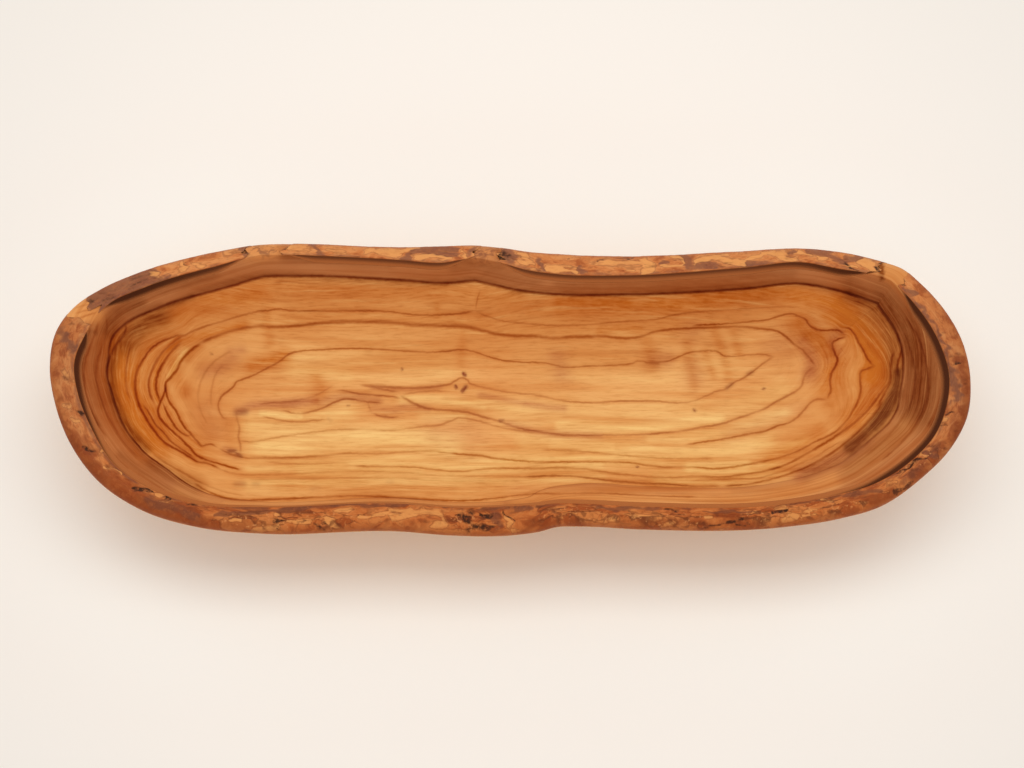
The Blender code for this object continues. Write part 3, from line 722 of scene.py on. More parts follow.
def draw_rings(pixels):
    """For each channel: signed distance to the nearest growth ring, its width, darkness and plum share."""
    curves = [open_curve(points) for _, _, _, _, _, *points in GROWTH_RINGS]
    channels = [np.zeros((len(pixels), FIELD_SIZE), np.float32) for _ in range(LINE_CHANNELS)]
    for channel in channels:
        channel[:, 0] = LINE_REACH
    for curve, ring, chosen in zip(curves, GROWTH_RINGS, sort_into_channels(curves)):
        _, _, widths, darkness, plum, *_ = ring
        near, distance, place = nearest_on(curve, pixels, LINE_REACH)
        target = channels[chosen]
        closer = np.abs(distance) < np.abs(target[near, 0])
        near, distance, place = near[closer], distance[closer], place[closer]
        to_end = np.minimum(place, 1 - place) * (len(curve) - 1)
        ink = darkness * smooth(to_end / END_TAPER)
        ink *= 1 - smooth((np.abs(distance) - LINE_KEEP) / (LINE_REACH - LINE_KEEP))
        width = np.interp(place, (0, 0.5, 1), widths)
        target[near] = np.column_stack((distance, width, ink, np.full(len(near), plum)))
    return channels


def draw_strokes(pixels, strokes):
    """Strength of each kind of mark at the pixels, as soft strokes, in a column for each kind."""
    strengths = np.zeros((len(pixels), FIELD_SIZE), np.float32)
    for column, marks in zip(strengths.T, strokes.values()):
        for width, strength, *points in marks:
            near, distance, _ = nearest_on(open_curve(points), pixels, STROKE_REACH * width)
            stroke = strength * np.exp(-(distance / width) ** 2)
            column[near] = np.maximum(column[near], stroke)
    return strengths


# Fine grain between the rings, and where it turns from straight to curved, as shares of half the length
FLOW_STEP = 13.0
FLOW_SMOOTHING = 30.0
FLOW_TINY = 1e-6
STRAIGHT_GRAIN = (0.52, 0.80)


def grain_flow(pixels, crease_pixels):
    """A smooth field whose level lines follow the growth rings, for the fine grain between them."""
    knots = [crease_pixels[:: int(FLOW_STEP // 2)]]
    values = [np.zeros(len(knots[0]))]
    for _, numbers, _, _, _, *points in GROWTH_RINGS:
        if numbers is not None:
            curve = open_curve(points, FLOW_STEP)
            knots.append(curve)
            values.append(np.linspace(*numbers, len(curve)))
    knots, values = np.concatenate(knots), np.concatenate(values)
    count = len(knots)

    def pull(places):
        """How strongly each knot bears on each place."""
        squared = ((places[:, None] - knots[None]) ** 2).sum(2)
        return 0.5 * squared * np.log(squared + FLOW_TINY)

    def slopes(places):
        """What an even slope of the field is made of."""
        return np.column_stack((np.ones(len(places)), places))

    system = np.zeros((count + 3, count + 3))
    system[:count, :count] = pull(knots) + FLOW_SMOOTHING * np.eye(count)
    system[:count, count:] = slopes(knots)
    system[count:, :count] = slopes(knots).T
    weights = np.linalg.solve(system, np.append(values, np.zeros(3)))
    flow = np.empty(len(pixels))
    for part in blocks(len(pixels)):
        flow[part] = pull(pixels[part]) @ weights[:count] + slopes(pixels[part]) @ weights[count:]
    return flow


def new_object(name, data):
    """An object placed in the scene."""
    thing = bpy.data.objects.new(name, data)
    bpy.context.scene.collection.objects.link(thing)
    return thing


# The flat layout that a bake of the finishes uses: its name, the gap round its parts, the height between the
# bowl's lower and upper halves, and how a strip of bark shares out its height from the seat to the cut
BAKE_MAP = "OFBake"
MAP_GAP = 0.008
MAP_SPLIT = 0.43
STRIP_SHARES = (0.0, 0.10, 0.14, 0.86, 1.0)


def new_piece(name, points, faces, material, fields, corners):
    """An object of smooth faces with one finish, fields on its points and a map of its faces' corners."""
    mesh = bpy.data.meshes.new(name)
    mesh.from_pydata(points.tolist(), [], faces)
    mesh.materials.append(material)
    for field, values in fields.items():
        layer = mesh.attributes.new(field, "FLOAT_COLOR", "POINT")
        layer.data.foreach_set("color", np.ascontiguousarray(values, np.float32).ravel())
    mesh.validate()
    mesh.shade_smooth()
    mesh.set_sharp_from_angle(angle=SHARP_ANGLE)
    layer = mesh.uv_layers.new(name=BAKE_MAP)
    layer.uv.foreach_set("vector", np.ascontiguousarray(corners, np.float32).ravel())
    return new_object(name, mesh)


def unfold(start, rows, outward):
    """Rows of points laid flat: each row lies outward of the last by the distance between them."""
    flat = [start]
    for before, after in zip(rows, rows[1:]):
        flat.append(flat[-1] + outward * np.linalg.norm(after - before, axis=1)[:, None])
    return flat


def fit_into(flat, low, high):
    """Flat points moved and stretched to fill the map between two heights."""
    start, end = flat.min(0), flat.max(0)
    low, high = np.array((MAP_GAP, low + MAP_GAP)), np.array((1 - MAP_GAP, high - MAP_GAP))
    return low + (flat - start) / (end - start) * (high - low)


def body_map(rim, hull, seat, wall, scoop, floor, base, faces):
    """Places on the map for the corners of the bowl's faces: hull and base below, rim and cavity above."""
    count = len(rim.at)
    spokes = hull[-1][:, :2] - hull[0][:, :2]
    spokes /= np.linalg.norm(spokes, axis=1)[:, None]
    sides = unfold(hull[0][:, :2], hull + seat[:1], spokes)
    below = fit_into(np.concatenate(sides + [base[:, :2]]) * (-1, 1), 0, MAP_SPLIT)
    sides = unfold(wall[-1][:, :2], (seat + wall)[::-1], -rim.inward)[::-1]
    above = fit_into(np.concatenate(sides + [net[:, :2] for net in scoop + [floor]]), MAP_SPLIT, 1)
    top_side = len(hull) * count
    base_start = top_side + len(above)
    skipped = base_start - top_side - count
    places = []
    for number, face in enumerate(faces):
        if number < top_side:
            places += [below[corner] for corner in face]
        elif max(face) < base_start and min(face) >= top_side:
            places += [above[corner - top_side] for corner in face]
        else:
            places += [below[corner if corner < base_start else corner - skipped] for corner in face]
    return np.array(places)


def ring_faces(rows, count):
    """Quads between closed rows of points that lie one after another."""
    faces = []
    for start in range(0, (rows - 1) * count, count):
        after = start + count
        for i in range(count):
            j = (i + 1) % count
            faces.append((start + i, start + j, after + j, after + i))
    return faces


# Faint waves that the gouge left, rings of the log in metres, and a pixel for points that the camera misses
CARVING_HEIGHT = 0.00016
CARVING_SCALE = 95.0
CARVING_STRETCH = np.array((0.45, 1.0, 1.0))
LOG_RING = 0.0045
MILLIMETRES = 1000
OUT_OF_SIGHT = -1000.0


def carve(points, pixels):
    """How far the faint waves and ridges that the gouge left lift the points."""
    waves = points * CARVING_SCALE * CARVING_STRETCH
    lift = np.array([noise.noise(Vector(place)) for place in waves]) * CARVING_HEIGHT
    for height, *line in GOUGE_RIDGES:
        near, distance, place = nearest_on(open_curve(line), pixels, RIDGE_SPAN * RIDGE_REACH)
        fade = smooth(np.minimum(place, 1 - place) * RIDGE_FADE)
        lift[near] += height * fade * np.exp(-np.abs(distance) / RIDGE_REACH)
    return lift


def bowl_body(rim, material):
    """The carved wood: hull, seat under the bark, wall, scoop and floor, with its grain as fields."""
    count = len(rim.at)
    hull = hull_rings(rim)
    seat = rim.face(rim.seat_depth)
    wall = wall_rings(rim)
    scoop = scoop_rings(rim)
    floor, floor_triangles = flat_net(scoop[-1], FLOOR_STEP)
    base, base_triangles = flat_net(hull[0], BASE_STEP)
    rings = np.concatenate(hull + seat + wall + scoop)
    points = np.concatenate((rings, floor, base))
    top_side = len(hull) * count
    wall_start = top_side + len(seat) * count
    scoop_start = wall_start + len(wall) * count
    last = len(rings) - count
    base_start = len(rings) + len(floor)
    faces = [face[::-1] for face in ring_faces(len(rings) // count, count)]
    faces += [tuple(corner + last for corner in face) for face in floor_triangles]
    past_floor = base_start - count
    for face in base_triangles:
        faces.append(tuple(corner if corner < count else corner + past_floor for corner in face[::-1]))

    pixels = to_photo(points)
    path = seat + wall + scoop
    travelled = np.cumsum([np.linalg.norm(b - a, axis=1) for a, b in zip(path, path[1:])], axis=0)
    travelled = np.concatenate((np.zeros((1, count)), travelled))
    travelled -= travelled[len(seat) + len(wall) - 1]
    below_crease = np.full(len(points), 1.0)
    below_crease[top_side : top_side + travelled.size] = travelled.ravel()

    flow = below_crease / LOG_RING
    flow[scoop_start:base_start] = grain_flow(pixels[scoop_start:base_start], to_photo(wall[-1]))
    axis_height = CROWN_HEIGHT - LOG_RADIUS
    depth = LOG_RADIUS - np.hypot(points[:, 1], points[:, 2] - axis_height)
    below_crease[:top_side] = -depth[:top_side]
    below_crease[base_start:] = -depth[base_start:]
    edge = slice(top_side, top_side + count)
    rise = np.repeat(np.arange(len(hull)) / len(hull), count)
    left_over = np.tile(flow[edge] - depth[edge] / LOG_RING, len(hull))
    flow[:top_side] = left_over * rise + depth[:top_side] / LOG_RING
    flow[base_start:] = depth[base_start:] / LOG_RING
    near, far = np.array(STRAIGHT_GRAIN) * LENGTH / 2
    straight = 1 - smooth((np.abs(points[:, 0]) - near) / (far - near))
    inside = np.zeros(len(points))
    inside[top_side:base_start] = 1.0

    pixels_seen = np.where(inside[:, None] > 0, pixels, OUT_OF_SIGHT)
    fields = {
        "grain": np.column_stack((flow, below_crease * MILLIMETRES, inside, straight)),
        "stains": draw_strokes(pixels_seen, STAINS),
        "tones": draw_strokes(pixels_seen, WALL_TONES),
    }
    for number, channel in enumerate(draw_rings(pixels_seen)):
        fields[f"rings_{number}"] = channel

    corners = body_map(rim, hull, seat, wall, scoop, floor, base, faces)
    moved = slice(wall_start, base_start)
    fade = np.ones(len(points))
    fade[wall_start:scoop_start] = np.repeat(np.linspace(0, 1, len(wall)), count)
    points[moved, 2] += carve(points[moved], pixels[moved]) * fade[moved]
    return new_piece("carved_bowl", points, faces, material, fields, corners)


# Torn ends of the bark, then its flakes and pits, and how far its marks stray from their strokes
TORN_REACH = 0.0034
TORN_BACK = 0.35
TORN_FADE = 0.020
TORN_WAVES = ((2.6, 1.0), (7.0, 0.35))
TORN_APART = 7.3
TORN_FLATNESS = 0.85
BARK_RELIEF = 0.00034
BARK_PIT = 0.00045
YELLOW_PIT = 0.3
EDGE_FADE = 8
FLAKE_SCALE = 230.0
FLAKE_STRETCH = np.array((0.5, 1.0, 1.0))
COARSE_NOISE = (0.9, 2.1, 3)
FINE_NOISE = (3, True)
FINE_FLAKES = 2.3
COARSE_SHARE = 0.55
FINE_SHARE = 0.5
BUSY_SHARE = 0.7
MARK_WARPS = ((0.8, 6.0), (2.2, 3.5))
MARK_STRETCH = np.array((1.3, 0.55))
MARK_SEED = 17


def bark_relief(points, pixels):
    """Height of the bark's flakes and pits, and the marks that colour it."""
    noise.seed_set(MARK_SEED)
    places = points * FLAKE_SCALE * FLAKE_STRETCH
    warped = pixels.copy()
    for scale, reach in MARK_WARPS:
        warped += reach * MARK_STRETCH * np.array([noise.noise_vector(Vector(p * scale)).xy for p in places])
    marks = draw_strokes(warped, BARK_MARKS)
    busy = draw_strokes(warped, BUSY_FLAKES)[:, 0]
    coarse = np.array([noise.fractal(Vector(p), *COARSE_NOISE) for p in places])
    fine = np.array([noise.turbulence(Vector(p * FINE_FLAKES), *FINE_NOISE) for p in places])
    flakes = COARSE_SHARE * coarse + (0.5 - fine) * (FINE_SHARE + BUSY_SHARE * busy)
    height = BARK_RELIEF * flakes - BARK_PIT * marks[:, 2] - YELLOW_PIT * BARK_PIT * marks[:, 0]
    return height, flakes, marks, busy


def torn_line(across, number):
    """How far a torn end runs in or out at places across the rim, as a share of its reach."""
    line = np.full(len(across), TORN_BACK)
    for waves, share in TORN_WAVES:
        places = [Vector((place * waves, TORN_APART * number, 0.4)) for place in across]
        line += share * np.array([2 * noise.noise(place) for place in places])
    return line


def strip_rows(rim, values, across, first, last, ends):
    """Values on a strip's sections between two stations, moved along it near its torn ends."""
    count = len(values)
    spacing = rim.period / count
    steps = (last - first) % count
    rows = np.arange(steps + 1)[:, None]
    at = rows + np.zeros(len(across))
    for away, direction, number in ((rows, 1, ends[0]), (steps - rows, -1, ends[1])):
        fade = 1 - smooth(away * spacing / TORN_FADE)
        at += direction * fade * TORN_REACH / spacing * torn_line(across, number)
    whole = np.floor(at).astype(int)
    part = (at - whole)[:, :, None]
    column = np.arange(len(across))[None]
    before = values[(first + whole) % count, column]
    after = values[(first + whole + 1) % count, column]
    return before * (1 - part) + after * part


def strip_map(steps, around, shares):
    """Places on the map for the corners of a strip's faces, cut into rows that lie one above another."""
    bands = max(1, round(math.sqrt(steps / around)))
    row = np.arange(steps)
    band = row * bands // steps
    first = np.array([np.flatnonzero(band == number)[0] for number in range(bands)] + [steps])
    long = np.diff(first)[band]
    room = 1 - 2 * MAP_GAP
    start, end = [MAP_GAP + (row + side - first[band]) / long * room for side in (0, 1)]
    height = 1 - (band[:, None] + MAP_GAP + shares[None] * room) / bands
    low, high = height[:, :-1], height[:, 1:]
    start, end = [np.broadcast_to(side[:, None], low.shape) for side in (start, end)]
    quads = np.stack((start, low, start, high, end, high, end, low), axis=2)
    first_cap = np.column_stack((start[0], low[0]))[::-1]
    last_cap = np.column_stack((end[-1], low[-1]))
    return np.concatenate((quads.reshape(-1, 2), first_cap, last_cap))


def bark_strips(rim, material):
    """Four strips of bark on the seat, each from the end of one bare patch to the start of the next."""
    under = np.array(rim.face(lambda nose_depth: rim.seat_depth(nose_depth, SEAT_GAP)))
    over = np.array(rim.face(lambda nose_depth: nose_depth))
    cut_steps = np.linspace(0, 1, BARK_CUT_STEPS + 1)[1:-1]
    cut = [over[-1] + (under[-1] - over[-1]) * share for share in cut_steps]
    sections = np.concatenate((under[::-1], over, cut)).swapaxes(0, 1)
    around = sections.shape[1]
    tops = slice(len(under), len(under) + len(over))
    across = np.zeros(around)
    across[tops] = np.linspace(0, 1, len(over))
    cut_share = np.zeros(around)
    cut_share[tops.stop :] = cut_steps
    cut_share[0] = 1.0

    along = np.roll(sections, -1, 0) - np.roll(sections, 1, 0)
    sideways = np.gradient(sections[:, tops], axis=1)
    outward = np.cross(sideways, along[:, tops])
    outward /= np.linalg.norm(outward, axis=2)[:, :, None]
    top_points = sections[:, tops].reshape(-1, 3)
    height, flakes, marks, busy = bark_relief(top_points, to_photo(top_points))
    shape = sections[:, tops].shape[:2]
    edges = smooth(np.minimum(across[tops], 1 - across[tops]) * EDGE_FADE)[None]
    room = (1 - TORN_FLATNESS * rim.bare)[:, None]
    lift = height.reshape(shape) * edges * room
    sections[:, tops] += outward * lift[:, :, None]

    fields = {name: np.zeros((*sections.shape[:2], FIELD_SIZE)) for name in ("bark", "marks", "rim")}
    fields["bark"][:, :, 0] = across[None]
    fields["bark"][:, :, 1] = cut_share[None]
    fields["bark"][:, tops, 2] = flakes.reshape(shape)
    fields["bark"][:, tops, 3] = busy.reshape(shape)
    fields["marks"][:, tops] = marks.reshape((*shape, FIELD_SIZE))
    place = np.concatenate((np.linspace(1, 0, len(under)), np.linspace(0, 1, len(over)), np.ones(len(cut))))
    fields["rim"][:, :, 0] = rim.at[:, None]
    fields["rim"][:, :, 1] = place[None] * rim.width[:, None]
    fields["rim"][:, :, 2] = rim.bare[:, None]
    values = np.concatenate((sections, *fields.values()), axis=2)
    turns = (0, len(under) - 1, len(under), tops.stop - 1, around)
    shares = np.interp(np.arange(around + 1), turns, STRIP_SHARES)
    strips = []
    for here, (name, _, start) in enumerate(rim.ends):
        end = rim.ends[(here + 1) % len(rim.ends)][1]
        first, last = [int(np.argmin(np.abs(rim.at - side))) for side in (start, end)]
        own = strip_rows(rim, values, place, first, last, (here, here + 0.5))
        steps = len(own) - 1
        faces = ring_faces(len(own), around)
        faces.append(tuple(reversed(range(around))))
        faces.append(tuple(range(steps * around, len(own) * around)))
        own = own.reshape(-1, own.shape[2])
        points, *columns = np.split(own, 3 + FIELD_SIZE * np.arange(len(fields)), axis=1)
        own_fields = dict(zip(fields, columns))
        corners = strip_map(steps, around, shares)
        strip = new_piece(name + "_relief", points, faces, material, own_fields, corners)
        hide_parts(name)
        strips.append(strip)
    return strips


class Value:
    """A number or colour that a material works out at each point, for sums and products that read as such."""

    def __init__(self, nodes, socket):
        self.nodes, self.socket = nodes, socket

    def __add__(self, other):
        return self.nodes.math("ADD", self, other)

    def __sub__(self, other):
        return self.nodes.math("SUBTRACT", self, other)

    def __rsub__(self, other):
        return self.nodes.math("SUBTRACT", other, self)

    def __mul__(self, other):
        return self.nodes.math("MULTIPLY", self, other)

    def __abs__(self):
        return self.nodes.math("ABSOLUTE", self)


class Nodes:
    """A material's node tree, with short calls for the nodes that these finishes use."""

    def __init__(self, name, specular):
        self.material = bpy.data.materials.new(name)
        self.material.use_nodes = True
        self.tree = self.material.node_tree
        self.shader = self.tree.nodes["Principled BSDF"]
        self.shader.inputs["Specular IOR Level"].default_value = specular

    def feed(self, node, inputs):
        """Gives a node its inputs, as numbers, colours or other nodes' values."""
        for key, value in inputs.items():
            if isinstance(value, Value):
                self.tree.links.new(value.socket, node.inputs[key])
            else:
                node.inputs[key].default_value = value

    def add(self, kind, inputs, **settings):
        """A new node's outputs."""
        node = self.tree.nodes.new(kind)
        for setting, value in settings.items():
            setattr(node, setting, value)
        self.feed(node, inputs)
        return {output.name: Value(self, output) for output in node.outputs if output.enabled}

    def one(self, kind, inputs, **settings):
        """The first output in use of a new node."""
        return next(iter(self.add(kind, inputs, **settings).values()))

    def math(self, operation, *values):
        return self.one("ShaderNodeMath", dict(enumerate(values)), operation=operation)

    def step(self, value, low, high, out_low=0, out_high=1):
        """A smooth step from one value to another as the input goes from low to high."""
        inputs = dict(enumerate((value, low, high, out_low, out_high)))
        return self.one("ShaderNodeMapRange", inputs, interpolation_type="SMOOTHSTEP")

    def mix(self, factor, first, second, blend="MIX"):
        inputs = {0: factor, 6: first, 7: second}
        return self.one("ShaderNodeMix", inputs, data_type="RGBA", blend_type=blend)

    def tint(self, factor, colour, shares):
        """A colour darkened towards its product with a tint."""
        return self.mix(factor, colour, shares, "MULTIPLY")

    def field(self, name):
        """The four values of a field on the points."""
        field = self.add("ShaderNodeAttribute", {}, attribute_name=name)
        return [*self.add("ShaderNodeSeparateColor", {0: field["Color"]}).values(), field["Alpha"]]

    def vector(self, x, y, z):
        return self.one("ShaderNodeCombineXYZ", {0: x, 1: y, 2: z})

    def noise(self, vector, scale, detail=2, roughness=0.5, distortion=0):
        inputs = {"Vector": vector, "Scale": scale, "Detail": detail, "Roughness": roughness}
        return self.one("ShaderNodeTexNoise", {**inputs, "Distortion": distortion})

    def cells(self, vector, scale):
        """A pattern of cells: their own random shades, and the distance to their borders."""
        inputs = {"Vector": vector, "Scale": scale}
        colour = self.add("ShaderNodeTexVoronoi", inputs)["Color"]
        shade = self.one("ShaderNodeSeparateColor", {0: colour})
        return shade, self.one("ShaderNodeTexVoronoi", inputs, feature="DISTANCE_TO_EDGE")

    def place(self):
        """The point's place in metres, whole and as x, y and z."""
        spot = self.add("ShaderNodeTexCoord", {})["Object"]
        return [spot, *self.add("ShaderNodeSeparateXYZ", {0: spot}).values()]

    def finish(self, colour, roughness, bump=None, distance=0.0, strength=0.0):
        """The material, with its bump if it has one."""
        self.feed(self.shader, {"Base Color": colour, "Roughness": roughness})
        if bump is not None:
            inputs = {"Height": bump, "Distance": distance, "Strength": strength}
            self.feed(self.shader, {"Normal": self.one("ShaderNodeBump", inputs)})
        return self.material


def rgb(red, green, blue):
    """A colour given as screen values from 0 to 255, as the linear values that shaders take."""
    linear = []
    for value in (red, green, blue):
        share = value / 255
        linear.append(share / 12.92 if share <= 0.04045 else ((share + 0.055) / 1.055) ** 2.4)
    return (*linear, 1.0)


# Base colours of the wood, and tints that darken it as oil and growth do, as shares of red, green and blue;
# the crease and umber tints also carry painted shade
HONEY = rgb(238, 174, 104)
PALE = rgb(255, 216, 140)
WALL = rgb(201, 133, 82)
TAN = rgb(232, 164, 98)
SAPWOOD = rgb(255, 210, 136)
FACET = rgb(116, 52, 16)
AMBER_TINT = (0.74, 0.43, 0.14, 1.0)
PLUM_TINT = (0.66, 0.45, 0.47, 1.0)
GRAIN_TINT = (0.62, 0.40, 0.20, 1.0)
RING_TINT = (0.52, 0.26, 0.03, 1.0)
RING_PLUM_TINT = (0.54, 0.32, 0.26, 1.0)
SPOT_TINT = (0.30, 0.10, 0.09, 1.0)
CREASE_SHADE_TINT = (0.34, 0.11, 0.01, 1.0)
UMBER_AND_SHADE_TINT = (0.38, 0.22, 0.08, 1.0)
WALL_LINE_TINT = (0.70, 0.52, 0.36, 1.0)

# Colours and tints of the bark and of its cut inner edge, whose dark colours are partly the cut bark and
# partly painted shade
BARK_BROWN = rgb(206, 123, 66)
BARK_RUST = rgb(172, 90, 44)
BARK_TAN = rgb(220, 144, 84)
BARK_YELLOW = rgb(230, 156, 88)
BARK_PURPLE = rgb(132, 80, 58)
BARK_BLACK = rgb(60, 32, 18)
BARK_RED = rgb(150, 72, 32)
BARK_CUT = rgb(108, 60, 34)
BARK_END_CUT_AND_SHADE = rgb(76, 36, 15)
BARK_LINE = rgb(104, 50, 24)
CUT_WOOD = rgb(182, 110, 60)
# Painted shade on the bark's front side
FRONT_SHADE_TINT = (0.88, 0.73, 0.58, 1.0)
END_TINT = (0.70, 0.66, 0.66, 1.0)

# Spacing and lean of the straight grain, waves of the hull's rings, and flakes to a metre and their bend
LEVEL_RING = 0.0065
GRAIN_LEAN = 0.015
HULL_WAVE = 3.0
FLAKE_COUNT = 400.0
FLAKE_BEND = 0.0050
WOOD_SPECULAR, BARK_SPECULAR, PAPER_SPECULAR = 0.07, 0.10, 0.0
WOOD_BUMP = (0.00006, 0.35)
BARK_BUMP = (0.0004, 0.6)
BARK_ROUGHNESS, PAPER_ROUGHNESS = 0.48, 0.9


def olive_wood():
    """Oiled olive wood: honey, amber and pale wood, fine grain along the rings, drawn rings and stains, and
    painted shade on the wall and in the crease.
    """
    nodes = Nodes("olive_wood_carved", WOOD_SPECULAR)
    step, mix, tint = nodes.step, nodes.mix, nodes.tint
    spot, x, y, z = nodes.place()
    flow, below_crease, inside, straight = nodes.field("grain")
    amber, plum, pale, dark = nodes.field("stains")
    umber, tan, facet, mottle = nodes.field("tones")
    ragged = nodes.noise(spot, 260, 3, 0.6)
    soft_edge = ragged * 0.5 + 0.75
    cloud = nodes.noise(nodes.vector(x * 0.35, y, z), 55, 3, 0.55)
    level = flow * GRAIN_LEAN + y * (1 / LEVEL_RING)

    def along_grain(across, lengthways, detail):
        """Streaks along the rings at the ends and the bowl's length between: cells to a ring and a metre."""
        place = (x * lengthways, y * lengthways)
        curved = nodes.noise(nodes.vector(flow * across, *place), 1, detail, 0.6)
        lying = nodes.noise(nodes.vector(level * across, place[0], 0), 1, detail, 0.6)
        return straight * (lying - curved) + curved

    broad = along_grain(0.9, 9, 2)
    streaks = along_grain(3.2, 26, 3)
    fine = along_grain(10, 130, 3)
    wall_streaks = nodes.noise(nodes.vector(below_crease * 0.6, x * 8, y * 8), 1, 4, 0.6)
    grainy = (streaks + fine) * 1.1 - 0.1

    def spread(mark):
        """A stain's strength with an uneven edge that runs out along the grain."""
        return mark * soft_edge * grainy

    # Base tones of the cavity and its wall, with clouds, bands and stains, and umber that is partly painted
    # shade on the wall
    streaky = step(streaks + broad, 1.25, 0.75, 0.6, 1.2)
    colour = mix(pale * streaky, HONEY, PALE)
    on_wall = step(below_crease, 0.4, -0.4) * inside
    colour = mix(on_wall, colour, WALL)
    colour = mix(spread(tan), colour, TAN)
    colour = tint(step(cloud, 0.35, 0.7, 0, 0.35) * step(pale, 0.3, 1, 1, 0.2), colour, AMBER_TINT)
    colour = tint(step(broad, 0.4, 0.7, 0, 0.42) * step(pale, 0.3, 1, 1, 0.5), colour, AMBER_TINT)
    colour = tint(spread(amber), colour, AMBER_TINT)
    # Umber: darker wall wood and painted shade under the bark, along the crease and on the back and end walls
    colour = tint(spread(umber), colour, UMBER_AND_SHADE_TINT)

    # Fine streaks, the bare rim's mottle and the gouge's dark facet
    streak_share = (straight * 0.65 + 0.35) * (1 - on_wall)
    colour = tint(step(streaks, 0.48, 0.76, 0, 0.29) * streak_share, colour, GRAIN_TINT)
    colour = mix(step(streaks, 0.46, 0.28, 0, 0.2) * streak_share, colour, PALE)
    colour = tint(step(wall_streaks, 0.46, 0.72, 0, 0.55) * on_wall, colour, WALL_LINE_TINT)
    colour = mix(step(wall_streaks, 0.42, 0.3, 0, 0.35) * on_wall, colour, TAN)
    colour = tint(step(fine, 0.46, 0.72, 0, 0.32) * streak_share, colour, GRAIN_TINT)
    colour = tint(spread(plum), colour, PLUM_TINT)
    barky = nodes.noise(spot, 300, 4, 0.6, 0.8)
    colour = mix(mottle * soft_edge, colour, mix(step(barky, 0.38, 0.6), BARK_PURPLE, BARK_TAN))
    facet_cover = step(facet * soft_edge, 0.05, 0.85)
    facet_grain = step(streaks + fine, 0.75, 1.2, 0.74, 1)
    colour = mix(facet_cover * facet_grain, colour, FACET)

    # Sapwood and the log's own rings on the outer wall
    outside = 1 - inside
    sapwood = step(below_crease, -9, -1.5, 0.38, 0.72)
    colour = mix(sapwood * outside, colour, SAPWOOD)
    lying = nodes.vector(x * 0.22, y, z)
    waves = nodes.noise(lying, 34, 3, 0.5) * HULL_WAVE + flow
    shades = step(nodes.math("PINGPONG", waves * 0.27, 0.5), 0.14, 0.42, 0, 0.32)
    colour = tint(shades * outside, colour, AMBER_TINT)
    hull_ink = step(nodes.noise(lying, 24, 3, 0.55), 0.38, 0.64, 0.06, 0.8)
    hull_ring = step(nodes.math("PINGPONG", waves, 0.5), 0, 0.15, 1, 0)
    colour = tint(hull_ring * hull_ink * outside, colour, RING_PLUM_TINT)

    # Drawn growth rings, spots, and the crease at the foot of the wall: a dark ring there with painted shade,
    # strongest at the back and the left end
    wobble = nodes.noise(spot, 420) * 1.6 - 0.8
    break_up = nodes.noise(spot, 160, 3) * 0.9 + 0.55
    fade = step(nodes.noise(spot, 70, 3), 0.3, 0.62, 0.55, 1.05)
    for number in range(LINE_CHANNELS):
        distance, width, ink, share = nodes.field(f"rings_{number}")
        away = abs(distance + wobble)
        ink = ink * fade
        halo = step(away, 0.5, 4.2, 1, 0) * 0.38
        colour = tint(halo * ink, colour, AMBER_TINT)
        line = step(away, 0, width * 0.5 * break_up + 0.9, 0.98, 0)
        colour = tint(line * ink, colour, mix(share, RING_TINT, RING_PLUM_TINT))
    spots = step(dark * step(ragged, 0.2, 0.5, 0.7, 1), 0, 0.95)
    colour = tint(spots, colour, SPOT_TINT)
    crease_width = step(y, -0.045, 0, 0.95, 1.45)
    # Painted shade in the crease, with its dark ring, stronger at the back and the left end
    crease_line = step(abs(below_crease + wobble * 0.4), 0.1, crease_width, 1, 0)
    shaded = nodes.math("MAXIMUM", step(y, -0.04, 0), step(x, -0.12, -0.14))
    crease_shade = step(shaded, 0, 1, 0.3, 0.88) * break_up * step(facet, 0.2, 0.6, 1, 0.15)
    colour = tint(crease_line * crease_shade * inside, colour, CREASE_SHADE_TINT)
    pores = nodes.noise(nodes.vector(x * 0.12, y, z), 1500)
    return nodes.finish(colour, fine * 0.16 + 0.4, pores, *WOOD_BUMP)


